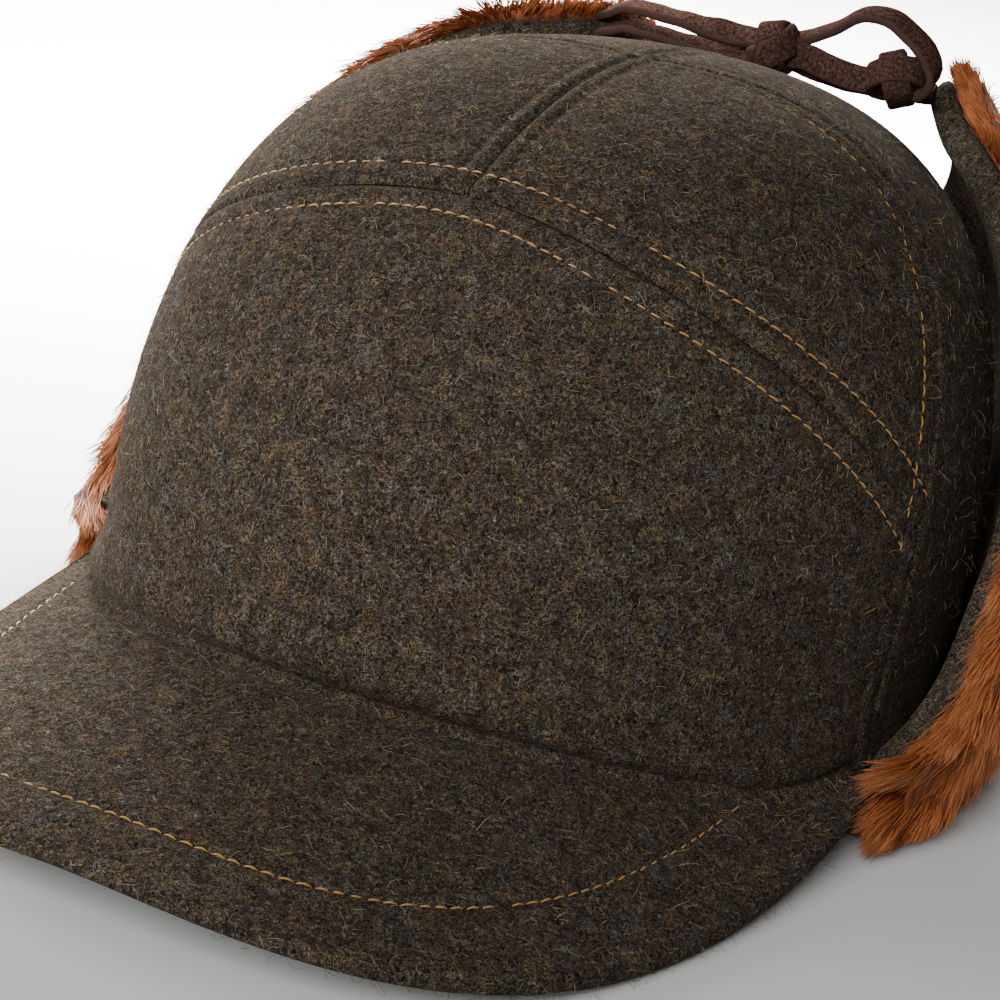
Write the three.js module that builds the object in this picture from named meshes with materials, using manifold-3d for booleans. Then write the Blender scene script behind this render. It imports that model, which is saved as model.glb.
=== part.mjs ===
// A wool earflap cap with its fur-lined flaps turned up and laced together over the crown.
// Millimetres, +Z up. The brim points to -Y and the wearer's left side is +X.
import * as THREE from 'three';
import { mergeVertices } from 'three/addons/utils/BufferGeometryUtils.js';
import Module from 'manifold-3d';

const wasm = await Module();
wasm.setup();

// Crown: outer size at the rim, height, and how far the apex sits behind the middle.
const crownHalfWidth = 87;
const crownFront = 100;
const crownBack = 100;
const crownHeight = 119;
const apexSetBack = 16.5;
const woolWall = 3;

// Crown: how square its plan and its profiles are, and how far each side leans or flares.
const planPower = 1.96;
const roofPower = 2.79;
const sideForm = { power: 2.86, lean: -0.075 };
const frontForm = { power: 1.94, lean: -0.1 };
const backForm = { power: 2.57, lean: -0.071 };
const frontFlare = 0.068;
const flareHeight = 0.07;

// Seams of the crown, as turns about the crown and rises up it, in degrees.
const sideSeamTurn = 79.7;
const sideSeamSweep = 0.2;
const archTopRise = 52;
const archEndRise = 15.3;
const archPower = 2;
const apexRadius = 1;

// Brim: length in front of the crown, half width, how its plan and slope run, and how far its sides drop.
const brimLength = 65.5;
const brimHalfWidth = 91.3;
const brimCornerSetBack = 29.3;
const brimPlanPower = 2.55;
const brimRise = 16.2;
const brimFall = 0.156;
const brimSideDrop = 29.1;
const brimThickness = 4;
const brimEndTurn = 74.4;
const brimEndRise = 8;
const rimFade = 8;

// Turned-up flaps: wool wall, rolled edge, hem under the crown's rim, and the space they leave.
const flapWall = 4;
const edgeRoll = 3;
const edgeRollReach = 7;
const flapStandOff = 10;
const hemStandOff = 1.5;
const hemRound = 2.5;
const flapCornerGap = 1;

// Fur: depth of the pile, its shorter depth at the edges, and how far it stands over the wool's edge.
const furDepth = 13;
const furEdgeDepth = 6;
const furEdgeReach = 16;
const furOverhang = 4;
const furLift = 1.5;
const lockRadius = 8.5;
const lockLength = 30;
const lockSink = 0.15;
const lockFlatness = 0.4;
const lockLift = 0.5;
const lockMargin = 0.08;
const forwardNap = 0.45;

// Laces and their knots.
const laceWidth = 6;
const laceRoundness = 0.3;
const laceSides = 8;
const bigKnotSize = 13.4;
const endKnotSize = 12;
const knotFlatness = 0.8;
const knotClearance = 0.4;

const clearance = 0.3;
const rad = THREE.MathUtils.degToRad;

// Edge of the turned-up flap from the brim's corner to the neck: the turn where each line of the
// flap leaves the rim, the turn and rise where it ends, and its stand-off as a share of flapStandOff.
const leftFlapEdge = [
  { base: brimEndTurn + flapCornerGap, turn: brimEndTurn + flapCornerGap, rise: 0.3, off: 0.3 },
  { base: 80, turn: 80, rise: 1.6, off: 0.5 },
  { base: 84, turn: 83, rise: 5, off: 0.75 },
  { base: 90, turn: 85, rise: 13, off: 1 },
  { base: 97, turn: 91, rise: 25, off: 0.9 },
  { base: 104, turn: 101, rise: 38, off: 0.55 },
  { base: 112, turn: 116, rise: 48, off: 0.45 },
  { base: 120, turn: 131, rise: 52, off: 0.6 },
  { base: 129, turn: 142, rise: 53.5, off: 1.2 },
  { base: 138, turn: 147, rise: 42, off: 1.2 },
  { base: 147, turn: 155, rise: 33, off: 1 },
  { base: 155, turn: 162, rise: 29, off: 0.8 },
];
const rightFlapEdge = [
  { base: brimEndTurn + flapCornerGap, turn: brimEndTurn + flapCornerGap, rise: 0.3, off: 0.3 },
  { base: 81, turn: 80, rise: 1.4, off: 0.35 },
  { base: 86, turn: 85, rise: 5, off: 0.4 },
  { base: 92, turn: 91, rise: 13, off: 0.35 },
  { base: 98, turn: 99, rise: 29, off: 0.4 },
  { base: 105, turn: 111, rise: 45, off: 0.5 },
  { base: 112, turn: 123, rise: 53, off: 0.5 },
  { base: 121, turn: 136, rise: 56.5, off: 0.45 },
  { base: 130, turn: 146, rise: 56.5, off: 0.5 },
  { base: 139, turn: 154, rise: 52.5, off: 0.7 },
  { base: 147, turn: 160, rise: 41, off: 0.9 },
  { base: 155, turn: 162, rise: 29, off: 0.8 },
];
const neckFlapEdge = [
  { base: 155, turn: 162, rise: 29, off: 0.8 },
  { base: 168, turn: 172, rise: 24.5, off: 0.75 },
  { base: 180, turn: 180, rise: 24, off: 0.75 },
  { base: 192, turn: 188, rise: 24.5, off: 0.75 },
  { base: 205, turn: 198, rise: 29, off: 0.8 },
];

// Routes of the laces, chosen by hand. Each runs on into the knots, which cut it to length.
const upperLaceRoute = [
  [-37.3, 75.9, 115.9], [-28, 69.8, 119.8], [-20, 67, 120.2], [-11.5, 66, 119.8], [-4, 66, 119.2], [2.4, 66, 119],
  [9.8, 66, 119.4],
];
const lowerLaceRoute = [
  [-35.7, 73.4, 112.6], [-27, 68.8, 115.5], [-19, 66.6, 115.6], [-10.8, 66, 115.2], [-4, 66, 114.9], [2.4, 66, 114.7],
  [9.8, 66, 115.6],
];
const loopRoute = [
  [9.8, 67, 119.4], [16.4, 67.6, 121.6], [21.5, 67.8, 124], [25.6, 67.8, 127], [30, 67.6, 129.1],
  [34.6, 67.4, 128.9], [39.4, 67, 126.8], [43.6, 66.4, 123.8], [46.2, 65.8, 120.4], [46, 65, 117],
  [43.4, 64.6, 115], [39, 64.6, 117],
];
const strapRoute = [
  [9.8, 65.4, 117], [17, 64.6, 117.6], [22, 64.4, 116.6], [27.6, 64.4, 115.6], [33, 64.6, 115.4], [39, 64.6, 117],
];
const leftLaceRoute = [
  [44.6, 74.6, 113.6], [38, 73.6, 113], [31, 73.2, 112.6], [24, 71.8, 113], [18, 69.6, 114.4], [9.8, 67, 117],
];
const bigKnotPlace = [9.8, 66, 118];
const endKnotPlace = [39, 64.6, 117];

const wool = (name) => new THREE.MeshStandardMaterial({ name, color: 0x3d352b, roughness: 0.95, metalness: 0 });
const crownWool = wool('crown_wool');
const flapWool = wool('flap_wool');
const brimWool = wool('brim_wool');
const rabbitFur = new THREE.MeshStandardMaterial({ name: 'fur', color: 0x9a4f27, roughness: 0.9, metalness: 0 });
const suede = new THREE.MeshStandardMaterial({ name: 'suede', color: 0x3a2a26, roughness: 0.85, metalness: 0 });

const mix = (a, b, share) => a + (b - a) * share;
const signedPower = (value, power) => Math.sign(value) * Math.abs(value) ** power;

// Share of the crown's height at a rise in degrees, and the rise at a share of the height.
const heightShare = (rise) => Math.sin(rad(rise)) ** (2 / roofPower);
const riseAt = (share) => THREE.MathUtils.radToDeg(Math.asin(Math.min(1, share ** (roofPower / 2))));

// Outer face of the crown. Turn 0 is the front and 90 the wearer's left; rise 0 is the rim, 90 the apex.
function crownPoint(turn, rise) {
  const sin = Math.sin(rad(turn));
  const cos = Math.cos(rad(turn));
  const front = Math.max(cos, 0) ** 2;
  const back = Math.max(-cos, 0) ** 2;
  const side = 1 - front - back;
  const power = sideForm.power * side + frontForm.power * front + backForm.power * back;
  const lean = sideForm.lean * side + frontForm.lean * front + backForm.lean * back;
  const up = heightShare(rise);
  const flare = 1 + frontFlare * THREE.MathUtils.clamp((cos + 0.1) / 0.6, 0, 1) * Math.exp(-up / flareHeight);
  const reach = Math.cos(rad(rise)) ** (2 / power) * (1 - lean * up) * flare;
  const plan = (Math.abs(sin) ** planPower + Math.abs(cos) ** planPower) ** (-1 / planPower);
  const depth = cos > 0 ? crownFront : crownBack;
  return new THREE.Vector3(
    crownHalfWidth * plan * sin * reach,
    -depth * plan * cos * reach + apexSetBack * up,
    crownHeight * up,
  );
}

function crownNormal(turn, rise) {
  const step = 0.02;
  const low = Math.max(rise - step, 0.001);
  const high = Math.min(rise + step, 90);
  const along = crownPoint(turn + step, rise).sub(crownPoint(turn - step, rise));
  const upward = crownPoint(turn, high).sub(crownPoint(turn, low));
  return along.cross(upward).normalize();
}

function levelNormal(turn, rise) {
  return crownNormal(turn, rise).setZ(0).normalize();
}

// Top face of the brim, which falls forward and curls down to its sides.
const brimTop = (x, y) => brimRise - brimFall * (-y - (crownFront - woolWall))
  - brimSideDrop * (x / brimHalfWidth) ** 2;

// Turn of the side seam at a rise.
const sideSeam = (rise) => sideSeamTurn + sideSeamSweep * (rise - archEndRise);

// Height of the crown's rim: on the brim's top face, and down to 0 a short way past the side seam.
function rimHeight(turn, x, y) {
  const past = (Math.abs(turn) - sideSeam(0)) / rimFade;
  return Math.max(0, brimTop(x, y)) * (1 - THREE.MathUtils.clamp(past, 0, 1));
}

// Rise of the crown's rim.
function rimRise(turn) {
  let rise = brimEndRise;
  for (let pass = 0; pass < 14; pass += 1) {
    const point = crownPoint(turn, rise);
    rise = riseAt(rimHeight(turn, point.x, point.y) / crownHeight);
  }
  return rise;
}

// Point on the crown's rim, moved in by an inset.
function rimPoint(turn, inset) {
  const rise = rimRise(turn);
  const point = crownPoint(turn, rise).addScaledVector(levelNormal(turn, Math.max(rise, 1)), -inset);
  return point.setZ(rimHeight(turn, point.x, point.y));
}

// Closed solid between two grids of points, outer and inner, indexed by column and then by row.
function sheetSolid(outer, inner) {
  const columns = outer.length;
  const rows = outer[0].length;
  const corner = (side, column, row) => (side * columns + column) * rows + row;
  const faces = [];
  const quad = (a, b, c, d) => faces.push(a, b, c, a, c, d);
  const last = { column: columns - 1, row: rows - 1 };
  for (let i = 0; i < last.column; i += 1) {
    for (let j = 0; j < last.row; j += 1) {
      quad(corner(0, i, j), corner(0, i + 1, j), corner(0, i + 1, j + 1), corner(0, i, j + 1));
      quad(corner(1, i, j), corner(1, i, j + 1), corner(1, i + 1, j + 1), corner(1, i + 1, j));
    }
    quad(corner(1, i, 0), corner(1, i + 1, 0), corner(0, i + 1, 0), corner(0, i, 0));
    quad(corner(0, i, last.row), corner(0, i + 1, last.row), corner(1, i + 1, last.row), corner(1, i, last.row));
  }
  for (let j = 0; j < last.row; j += 1) {
    quad(corner(1, 0, j), corner(0, 0, j), corner(0, 0, j + 1), corner(1, 0, j + 1));
    quad(
      corner(0, last.column, j),
      corner(1, last.column, j),
      corner(1, last.column, j + 1),
      corner(0, last.column, j + 1),
    );
  }
  const geometry = new THREE.BufferGeometry();
  const points = [...outer.flat(), ...inner.flat()];
  geometry.setAttribute('position', new THREE.Float32BufferAttribute(points.flatMap((p) => p.toArray()), 3));
  geometry.setIndex(faces);
  return geometry;
}

// Same solid with left and right swapped, its faces turned back to point out.
function mirrored(geometry) {
  const copy = geometry.clone().scale(-1, 1, 1);
  const index = copy.getIndex().array.slice();
  for (let i = 0; i < index.length; i += 3) {
    [index[i + 1], index[i + 2]] = [index[i + 2], index[i + 1]];
  }
  copy.setIndex([...index]);
  return copy;
}

// Grid of points: columns and rows run from 0 to 1 and place(column, row) gives each point.
function grid(columns, rows, place) {
  return Array.from({ length: columns + 1 }, (_, i) => Array.from(
    { length: rows + 1 },
    (__, j) => place(i / columns, j / rows, j),
  ));
}

const group = new THREE.Group();

function addPiece(name, geometry, material) {
  const mesh = new THREE.Mesh(geometry, material);
  mesh.name = name;
  group.add(mesh);
  return mesh;
}

// Crown panels. Each is a wool wall over a patch of turns and rises, drawn in by half the seam gap.
const archRise = (turn) => archTopRise - (archTopRise - archEndRise) * (Math.abs(turn) / sideSeamTurn) ** archPower;

function turnFor(distance, rise, turn) {
  const point = crownPoint(turn, rise);
  return THREE.MathUtils.radToDeg(distance / Math.hypot(point.x, point.y - apexSetBack * heightShare(rise)));
}

const riseFor = (distance) => THREE.MathUtils.radToDeg(distance / crownHeight);

// Highest rise of a panel: where the crown has closed in to the apex radius.
function apexRise() {
  let rise = 85;
  while (crownPoint(90, rise).x > apexRadius) {
    rise += 0.02;
  }
  return rise;
}
const topRise = apexRise();

// Rise at a share of the way up a panel, in steps that stay even over the dome.
function evenRise(low, high, share) {
  const run = (rise) => heightShare(rise) * crownHeight + crownHalfWidth - crownPoint(90, rise).x;
  const target = mix(run(low), run(high), share);
  let [below, above] = [low, high];
  for (let pass = 0; pass < 30; pass += 1) {
    const middle = (below + above) / 2;
    if (run(middle) < target) {
      below = middle;
    } else {
      above = middle;
    }
  }
  return (below + above) / 2;
}

function panelSolid(columns, rows, patch, onRim) {
  const seat = (column, row, j, inset) => {
    const { turn, rise } = patch(column, row);
    if (onRim && j === 0) {
      const foot = rimPoint(turn, inset);
      foot.z += foot.z > 0 ? clearance : 0;
      return foot;
    }
    return crownPoint(turn, rise).addScaledVector(crownNormal(turn, rise), -inset);
  };
  return sheetSolid(
    grid(columns, rows, (column, row, j) => seat(column, row, j, 0)),
    grid(columns, rows, (column, row, j) => seat(column, row, j, woolWall)),
  );
}

function frontPanelPatch(column, row) {
  const across = column * 2 - 1;
  const foot = across * (sideSeam(0) - turnFor(clearance, 0, sideSeamTurn));
  const head = across * (sideSeam(archEndRise) - turnFor(clearance, archEndRise, sideSeamTurn));
  const low = rimRise(foot);
  const high = archRise(head) - riseFor(clearance);
  const rise = evenRise(low, high, row);
  return { turn: mix(foot, head, (rise - low) / (high - low)), rise };
}

function topPanelPatch(column, row) {
  const start = archRise(column * sideSeamTurn) + riseFor(clearance);
  const rise = evenRise(start, topRise, row);
  const reach = sideSeamTurn + sideSeamSweep * (rise - start);
  const gap = turnFor(clearance, rise, 45);
  return { turn: mix(gap, reach - gap, column), rise };
}

function backPanelPatch(column, row) {
  const rise = evenRise(0, topRise, row);
  const gap = turnFor(clearance, rise, 135);
  return { turn: mix(sideSeam(rise) + gap, 180 - gap, column), rise };
}

addPiece('front_panel', panelSolid(20, 7, frontPanelPatch, true), crownWool);
const topPanel = panelSolid(10, 8, topPanelPatch, false);
addPiece('top_panel_left', topPanel, crownWool);
addPiece('top_panel_right', mirrored(topPanel), crownWool);
const backPanel = panelSolid(10, 10, backPanelPatch, true);
addPiece('back_panel_left', backPanel, crownWool);
addPiece('back_panel_right', mirrored(backPanel), crownWool);

// Brim: a stiffened double layer of wool that runs in under the crown's wall.
function brimEdge(share) {
  const sweep = rad(share * 90);
  const reach = crownFront + brimLength - brimCornerSetBack;
  const x = brimHalfWidth * signedPower(Math.sin(sweep), 2 / brimPlanPower);
  const y = -(brimCornerSetBack + reach * Math.abs(Math.cos(sweep)) ** (2 / brimPlanPower));
  return new THREE.Vector3(x, y, brimTop(x, y));
}

function brimPoint(column, row) {
  const across = column * 2 - 1;
  const inner = rimPoint(across * brimEndTurn, woolWall);
  const point = inner.lerp(brimEdge(across), row);
  return point.setZ(brimTop(point.x, point.y));
}

addPiece('brim', sheetSolid(
  grid(26, 3, (column, row) => brimPoint(1 - column, row)),
  grid(26, 3, (column, row) => brimPoint(1 - column, row).sub(new THREE.Vector3(0, 0, brimThickness))),
), brimWool);

// The cap rests on the lowest points of the brim and on the flaps' hem, so both share this level.
const edgeSamples = Array.from({ length: 401 }, (_, i) => brimEdge(i / 200 - 1).z);
const restLevel = Math.min(...edgeSamples) - brimThickness;

// Row of an edge table at a share of the way along it, smoothed through its neighbours.
function tableRow(table, share) {
  const place = share * (table.length - 1);
  const i = Math.min(Math.floor(place), table.length - 2);
  const t = place - i;
  const pick = (k) => table[THREE.MathUtils.clamp(k, 0, table.length - 1)];
  const value = {};
  Object.keys(table[0]).forEach((key) => {
    const [a, b, c, d] = [pick(i - 1)[key], pick(i)[key], pick(i + 1)[key], pick(i + 2)[key]];
    value[key] = b + 0.5 * t * (c - a + t * (2 * a - 5 * b + 4 * c - d + t * (3 * (b - c) + d - a)));
  });
  return value;
}

// Line of a turned-up flap at a share of its length: a function of the share of its height.
function flapLine(table, share) {
  const edge = tableRow(table, share);
  const top = heightShare(edge.rise);
  const height = crownHeight * top;
  const standOff = (up) => mix(hemStandOff, edge.off * flapStandOff, Math.sin(rad(90 * up)) ** 1.2);
  const spot = (up) => {
    const turn = mix(edge.base, edge.turn, up);
    const rise = riseAt(Math.max(up, 0.02) * top);
    return { turn, point: crownPoint(turn, rise), normal: crownNormal(turn, rise) };
  };
  const rollAt = (up) => Math.exp(-1 * (((1 - up) * height) / edgeRollReach) ** 2);
  const face = (up, out) => {
    const { point, normal } = spot(up);
    return point.addScaledVector(normal, standOff(up) + out);
  };
  return {
    base: edge.base,
    height,
    inner: (up) => face(up, 0),
    outer: (up, out = 0) => face(up, flapWall + edgeRoll * rollAt(up) + out),
    spot,
  };
}

const flapRows = 6;
const hemRows = 3;

// Point beside the bare rim: a distance out from the crown's face, at a height.
function hemPoint(turn, out, z) {
  return crownPoint(turn, 0.001).addScaledVector(levelNormal(turn, 1), out).setZ(z);
}

function flapSolid(table, columns, ends) {
  const share = (column) => mix(ends[0], ends[1], column);
  const hemOut = hemStandOff + flapWall;
  const innerHem = (turn, j) => [
    hemPoint(turn, -woolWall, restLevel),
    hemPoint(turn, -woolWall, -clearance),
    hemPoint(turn, hemStandOff, -clearance),
  ][j];
  const outerHem = (turn, j) => [
    hemPoint(turn, hemOut - hemRound, restLevel),
    hemPoint(turn, hemOut, restLevel + hemRound),
    hemPoint(turn, hemOut, -clearance),
  ][j];
  const up = (j) => (j - hemRows + 1) / flapRows;
  const rows = hemRows + flapRows - 1;
  return sheetSolid(
    grid(columns, rows, (column, row, j) => {
      const line = flapLine(table, share(column));
      return j < hemRows ? outerHem(line.base, j) : line.outer(up(j));
    }),
    grid(columns, rows, (column, row, j) => {
      const line = flapLine(table, share(column));
      return j < hemRows ? innerHem(line.base, j) : line.inner(up(j));
    }),
  );
}

const seamShare = 0.002;
addPiece('ear_flap_left', flapSolid(leftFlapEdge, 18, [0, 1 - seamShare]), flapWool);
addPiece('ear_flap_right', mirrored(flapSolid(rightFlapEdge, 18, [0, 1 - seamShare])), flapWool);
addPiece('neck_flap', flapSolid(neckFlapEdge, 8, [seamShare, 1 - seamShare]), flapWool);

// Fur: a backing of dense pile on the flap's outer face, with pointed locks fused to it.
function solidOf(geometry) {
  const bare = new THREE.BufferGeometry();
  bare.setAttribute('position', geometry.getAttribute('position').clone());
  bare.setIndex(geometry.getIndex());
  const merged = mergeVertices(bare, 1e-4);
  return new wasm.Manifold(new wasm.Mesh({
    numProp: 3,
    vertProperties: new Float32Array(merged.getAttribute('position').array),
    triVerts: new Uint32Array(merged.getIndex().array),
  }));
}

function geometryOf(solid) {
  const mesh = solid.getMesh();
  const geometry = new THREE.BufferGeometry();
  geometry.setAttribute('position', new THREE.Float32BufferAttribute(mesh.vertProperties, 3));
  geometry.setIndex([...mesh.triVerts]);
  return geometry;
}

const largestPart = (solid) => solid.decompose().sort((a, b) => b.volume() - a.volume())[0];

// Repeatable scatter from 0 to 1 for a numbered lock.
const scatter = (seed) => {
  const value = Math.sin(seed * 12.9898 + 4.1414) * 43758.5453;
  return value - Math.floor(value);
};

// Pointed lock of fur that leaves its root along one direction and bends to another.
function lockSolid(root, leave, bend, length, radius) {
  const sides = 4;
  const stations = [{ t: 0.42, width: 1 }];
  const middle = (t) => root.clone()
    .addScaledVector(leave, length * t * (1 - t / 2))
    .addScaledVector(bend, (length * t * t) / 2);
  const heading = (t) => leave.clone().multiplyScalar(1 - t).addScaledVector(bend, t).normalize();
  const points = [];
  stations.forEach(({ t, width }) => {
    const ahead = heading(t);
    const aside = new THREE.Vector3().crossVectors(ahead, new THREE.Vector3(0.2, 0.1, 1)).normalize();
    const over = new THREE.Vector3().crossVectors(ahead, aside);
    for (let side = 0; side < sides; side += 1) {
      const angle = (side / sides) * 2 * Math.PI;
      points.push(middle(t)
        .addScaledVector(aside, Math.cos(angle) * radius * width)
        .addScaledVector(over, Math.sin(angle) * radius * width * lockFlatness));
    }
  });
  points.push(root.clone(), middle(1));
  const faces = [];
  const rootPoint = sides * stations.length;
  for (let side = 0; side < sides; side += 1) {
    const next = (side + 1) % sides;
    faces.push(rootPoint, next, side);
    for (let ring = 0; ring < stations.length - 1; ring += 1) {
      const [low, high] = [ring * sides, (ring + 1) * sides];
      faces.push(low + side, low + next, high + next, low + side, high + next, high + side);
    }
    const end = (stations.length - 1) * sides;
    faces.push(end + side, end + next, rootPoint + 1);
  }
  const geometry = new THREE.BufferGeometry();
  geometry.setAttribute('position', new THREE.Float32BufferAttribute(points.flatMap((p) => p.toArray()), 3));
  geometry.setIndex(faces);
  return geometry;
}

// Depth of the pile, thinner towards the flap's free edge.
function pileDepth(line, up) {
  const toEdge = (1 - up) * line.height;
  return mix(furEdgeDepth, furDepth, THREE.MathUtils.clamp(toEdge / furEdgeReach, 0, 1) ** 0.6);
}

function furBacking(table, columns, ends) {
  const share = (column) => mix(ends[0], ends[1], column);
  const hemOut = hemStandOff + flapWall + clearance;
  const hemLevels = [restLevel + hemRound + clearance, -clearance];
  const firstRows = hemLevels.length;
  const rows = firstRows + flapRows - 1;
  const up = (j) => (j - firstRows + 1) / flapRows;
  const place = (column, j, outside) => {
    const line = flapLine(table, share(column));
    if (j < firstRows) {
      const out = outside ? pileDepth(line, 0) * (j === 0 ? 0.8 : 1) : 0;
      const z = j === 0 && outside ? restLevel + furLift : hemLevels[j];
      return hemPoint(line.base, hemOut + out, z);
    }
    const point = line.outer(up(j), clearance + (outside ? pileDepth(line, up(j)) : 0));
    if (outside && up(j) === 1) {
      point.z += furOverhang;
    }
    return point;
  };
  return sheetSolid(
    grid(columns, rows, (column, row, j) => place(column, j, true)),
    grid(columns, rows, (column, row, j) => place(column, j, false)),
  );
}

// Rows of locks up the flap: share of its height, number of locks, how the nap lies, from 1 for
// straight down the flap to -1 for straight up it, and length as a share of lockLength.
const lockRows = [
  { up: 0.2, count: 12, nap: 1, length: 1 },
  { up: 0.36, count: 11, nap: 1, length: 1 },
  { up: 0.54, count: 10, nap: 1, length: 1 },
  { up: 0.72, count: 8, nap: 0.9, length: 0.9 },
  { up: 0.88, count: 7, nap: 0.5, length: 0.6 },
];

function furSolid(table, columns, ends, portion, seed) {
  let fur = solidOf(furBacking(table, columns, ends));
  lockRows.forEach((row, level) => {
    const count = Math.round(row.count * portion);
    for (let i = 0; i < count; i += 1) {
      const number = seed + level * 40 + i;
      const share = mix(lockMargin, 1 - lockMargin, (i + 0.5 + 0.4 * (scatter(number) - 0.5)) / count);
      const line = flapLine(table, share);
      const root = line.outer(row.up, clearance + pileDepth(line, row.up) - lockRadius * lockSink);
      const { normal, turn, point } = line.spot(row.up);
      const down = line.spot(row.up - 0.05).point.sub(point).normalize();
      const forward = crownPoint(turn - 1, 5).sub(crownPoint(turn, 5)).normalize();
      const lie = down.multiplyScalar(row.nap).addScaledVector(forward, forwardNap * (1 - share));
      const leave = lie.clone().addScaledVector(normal, lockLift).normalize();
      const bend = lie.clone().normalize();
      const size = 0.8 + 0.4 * scatter(number + 0.5);
      const reach = Math.min(lockLength * row.length * size, root.z - restLevel - furLift - 1);
      fur = fur.add(solidOf(lockSolid(root, leave, bend, reach, lockRadius * size)));
    }
  });
  return geometryOf(largestPart(fur));
}

const furSeamShare = 0.006;
const leftFur = furSolid(leftFlapEdge, 18, [0, 1 - furSeamShare], 1, 1);
addPiece('ear_fur_left', leftFur, rabbitFur);
const rightFur = furSolid(rightFlapEdge, 18, [0, 1 - furSeamShare], 1, 300);
addPiece('ear_fur_right', mirrored(rightFur), rabbitFur);
addPiece('neck_fur', furSolid(neckFlapEdge, 8, [furSeamShare, 1 - furSeamShare], 0.5, 600), rabbitFur);

// Knots: two fat wraps round a core, a little flattened.
function knotSolid(size, place, tilts) {
  const wrap = new THREE.LatheGeometry(
    Array.from({ length: 7 }, (_, i) => {
      const angle = (i / 6) * 2 * Math.PI;
      return new THREE.Vector2(size * (0.27 + 0.2 * Math.cos(angle)), size * 0.22 * Math.sin(angle));
    }),
    9,
  );
  const core = new THREE.SphereGeometry(size * 0.3, 8, 6);
  let knot = solidOf(core);
  tilts.forEach(([x, y, z]) => {
    const turned = wrap.clone().rotateX(rad(x)).rotateY(rad(y)).translate(0, 0, size * z);
    knot = knot.add(solidOf(turned));
  });
  return knot.scale([1, 1, knotFlatness]).translate(place);
}

const bigKnot = knotSolid(bigKnotSize, bigKnotPlace, [[90, 70, 0.05], [20, 80, -0.02]]);
const endKnot = knotSolid(endKnotSize, endKnotPlace, [[60, 20, 0.03], [10, 60, -0.03]]);

// Room that a knot takes from the laces: its own form grown all round by the clearance.
function knotRoom(knot, size, place) {
  const growth = 1 + (2 * knotClearance) / size;
  return knot.translate(place.map((value) => -value)).scale([growth, growth, growth]).translate(place);
}

const rooms = [
  knotRoom(bigKnot.hull(), bigKnotSize, bigKnotPlace),
  knotRoom(endKnot.hull(), endKnotSize, endKnotPlace),
];

// Laces: plain tubes that run from a flap's tip or a knot to the next knot.
function laceSolid(route, steps) {
  const section = new THREE.Shape();
  const reach = laceWidth * laceRoundness;
  for (let side = 0; side < laceSides; side += 1) {
    const angle = ((side + 0.5) / laceSides) * 2 * Math.PI;
    const place = [Math.cos(angle) * reach, Math.sin(angle) * reach];
    if (side === 0) {
      section.moveTo(...place);
    } else {
      section.lineTo(...place);
    }
  }
  section.closePath();
  const path = new THREE.CatmullRomCurve3(route.map((point) => new THREE.Vector3(...point)));
  const tube = new THREE.ExtrudeGeometry(section, { steps, extrudePath: path, bevelEnabled: false });
  return geometryOf(largestPart(rooms.reduce((lace, room) => lace.subtract(room), solidOf(tube))));
}

addPiece('lace_upper', laceSolid(upperLaceRoute, 8), suede);
addPiece('lace_lower', laceSolid(lowerLaceRoute, 8), suede);
addPiece('lace_loop', laceSolid(loopRoute, 12), suede);
addPiece('lace_strap', laceSolid(strapRoute, 6), suede);
addPiece('lace_left', laceSolid(leftLaceRoute, 8), suede);
addPiece('big_knot', geometryOf(bigKnot), suede);
addPiece('end_knot', geometryOf(endKnot), suede);

// The origin is the middle of the cap's footprint, on the surface that it rests on.
const laced = new Set(['lace_upper', 'lace_lower', 'lace_loop', 'lace_strap', 'lace_left', 'big_knot', 'end_knot']);
const extent = new THREE.Box3();
group.children
  .filter((piece) => !laced.has(piece.name))
  .forEach((piece) => extent.expandByObject(piece, true));
group.position.set(
  -(extent.min.x + extent.max.x) / 2,
  -(extent.min.y + extent.max.y) / 2,
  -restLevel,
);
group.updateMatrixWorld(true);

export default group;
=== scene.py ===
"""Earflap cap: wool, topstitching, rabbit fur and suede laces, modelled round its CAD frame."""

import math

import bpy
import numpy as np
from bpy.props import FloatProperty, FloatVectorProperty, IntProperty
from mathutils import Matrix, Vector


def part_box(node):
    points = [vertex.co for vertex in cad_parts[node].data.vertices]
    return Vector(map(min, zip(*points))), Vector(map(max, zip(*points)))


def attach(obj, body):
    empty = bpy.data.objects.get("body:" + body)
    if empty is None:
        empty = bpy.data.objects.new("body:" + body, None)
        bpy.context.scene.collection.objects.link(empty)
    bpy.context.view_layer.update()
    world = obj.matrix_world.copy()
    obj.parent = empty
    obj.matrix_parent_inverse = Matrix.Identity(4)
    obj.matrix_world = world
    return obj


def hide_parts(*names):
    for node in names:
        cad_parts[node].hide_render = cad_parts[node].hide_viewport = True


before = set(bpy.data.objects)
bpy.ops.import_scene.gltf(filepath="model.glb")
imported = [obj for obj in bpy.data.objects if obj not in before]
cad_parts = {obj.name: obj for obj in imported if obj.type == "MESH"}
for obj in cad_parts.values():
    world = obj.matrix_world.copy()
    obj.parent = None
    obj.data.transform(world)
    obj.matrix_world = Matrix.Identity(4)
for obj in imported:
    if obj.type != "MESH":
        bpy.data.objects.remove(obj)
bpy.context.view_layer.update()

bl_info = {
    "name": "Earflap Cap",
    "version": (1, 0, 0),
    "blender": (4, 5, 0),
    "location": "3D View > Sidebar > Cap",
    "description": "Models the earflap cap round its CAD frame and sets its stage",
    "category": "Object",
}

MM = 0.001

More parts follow.
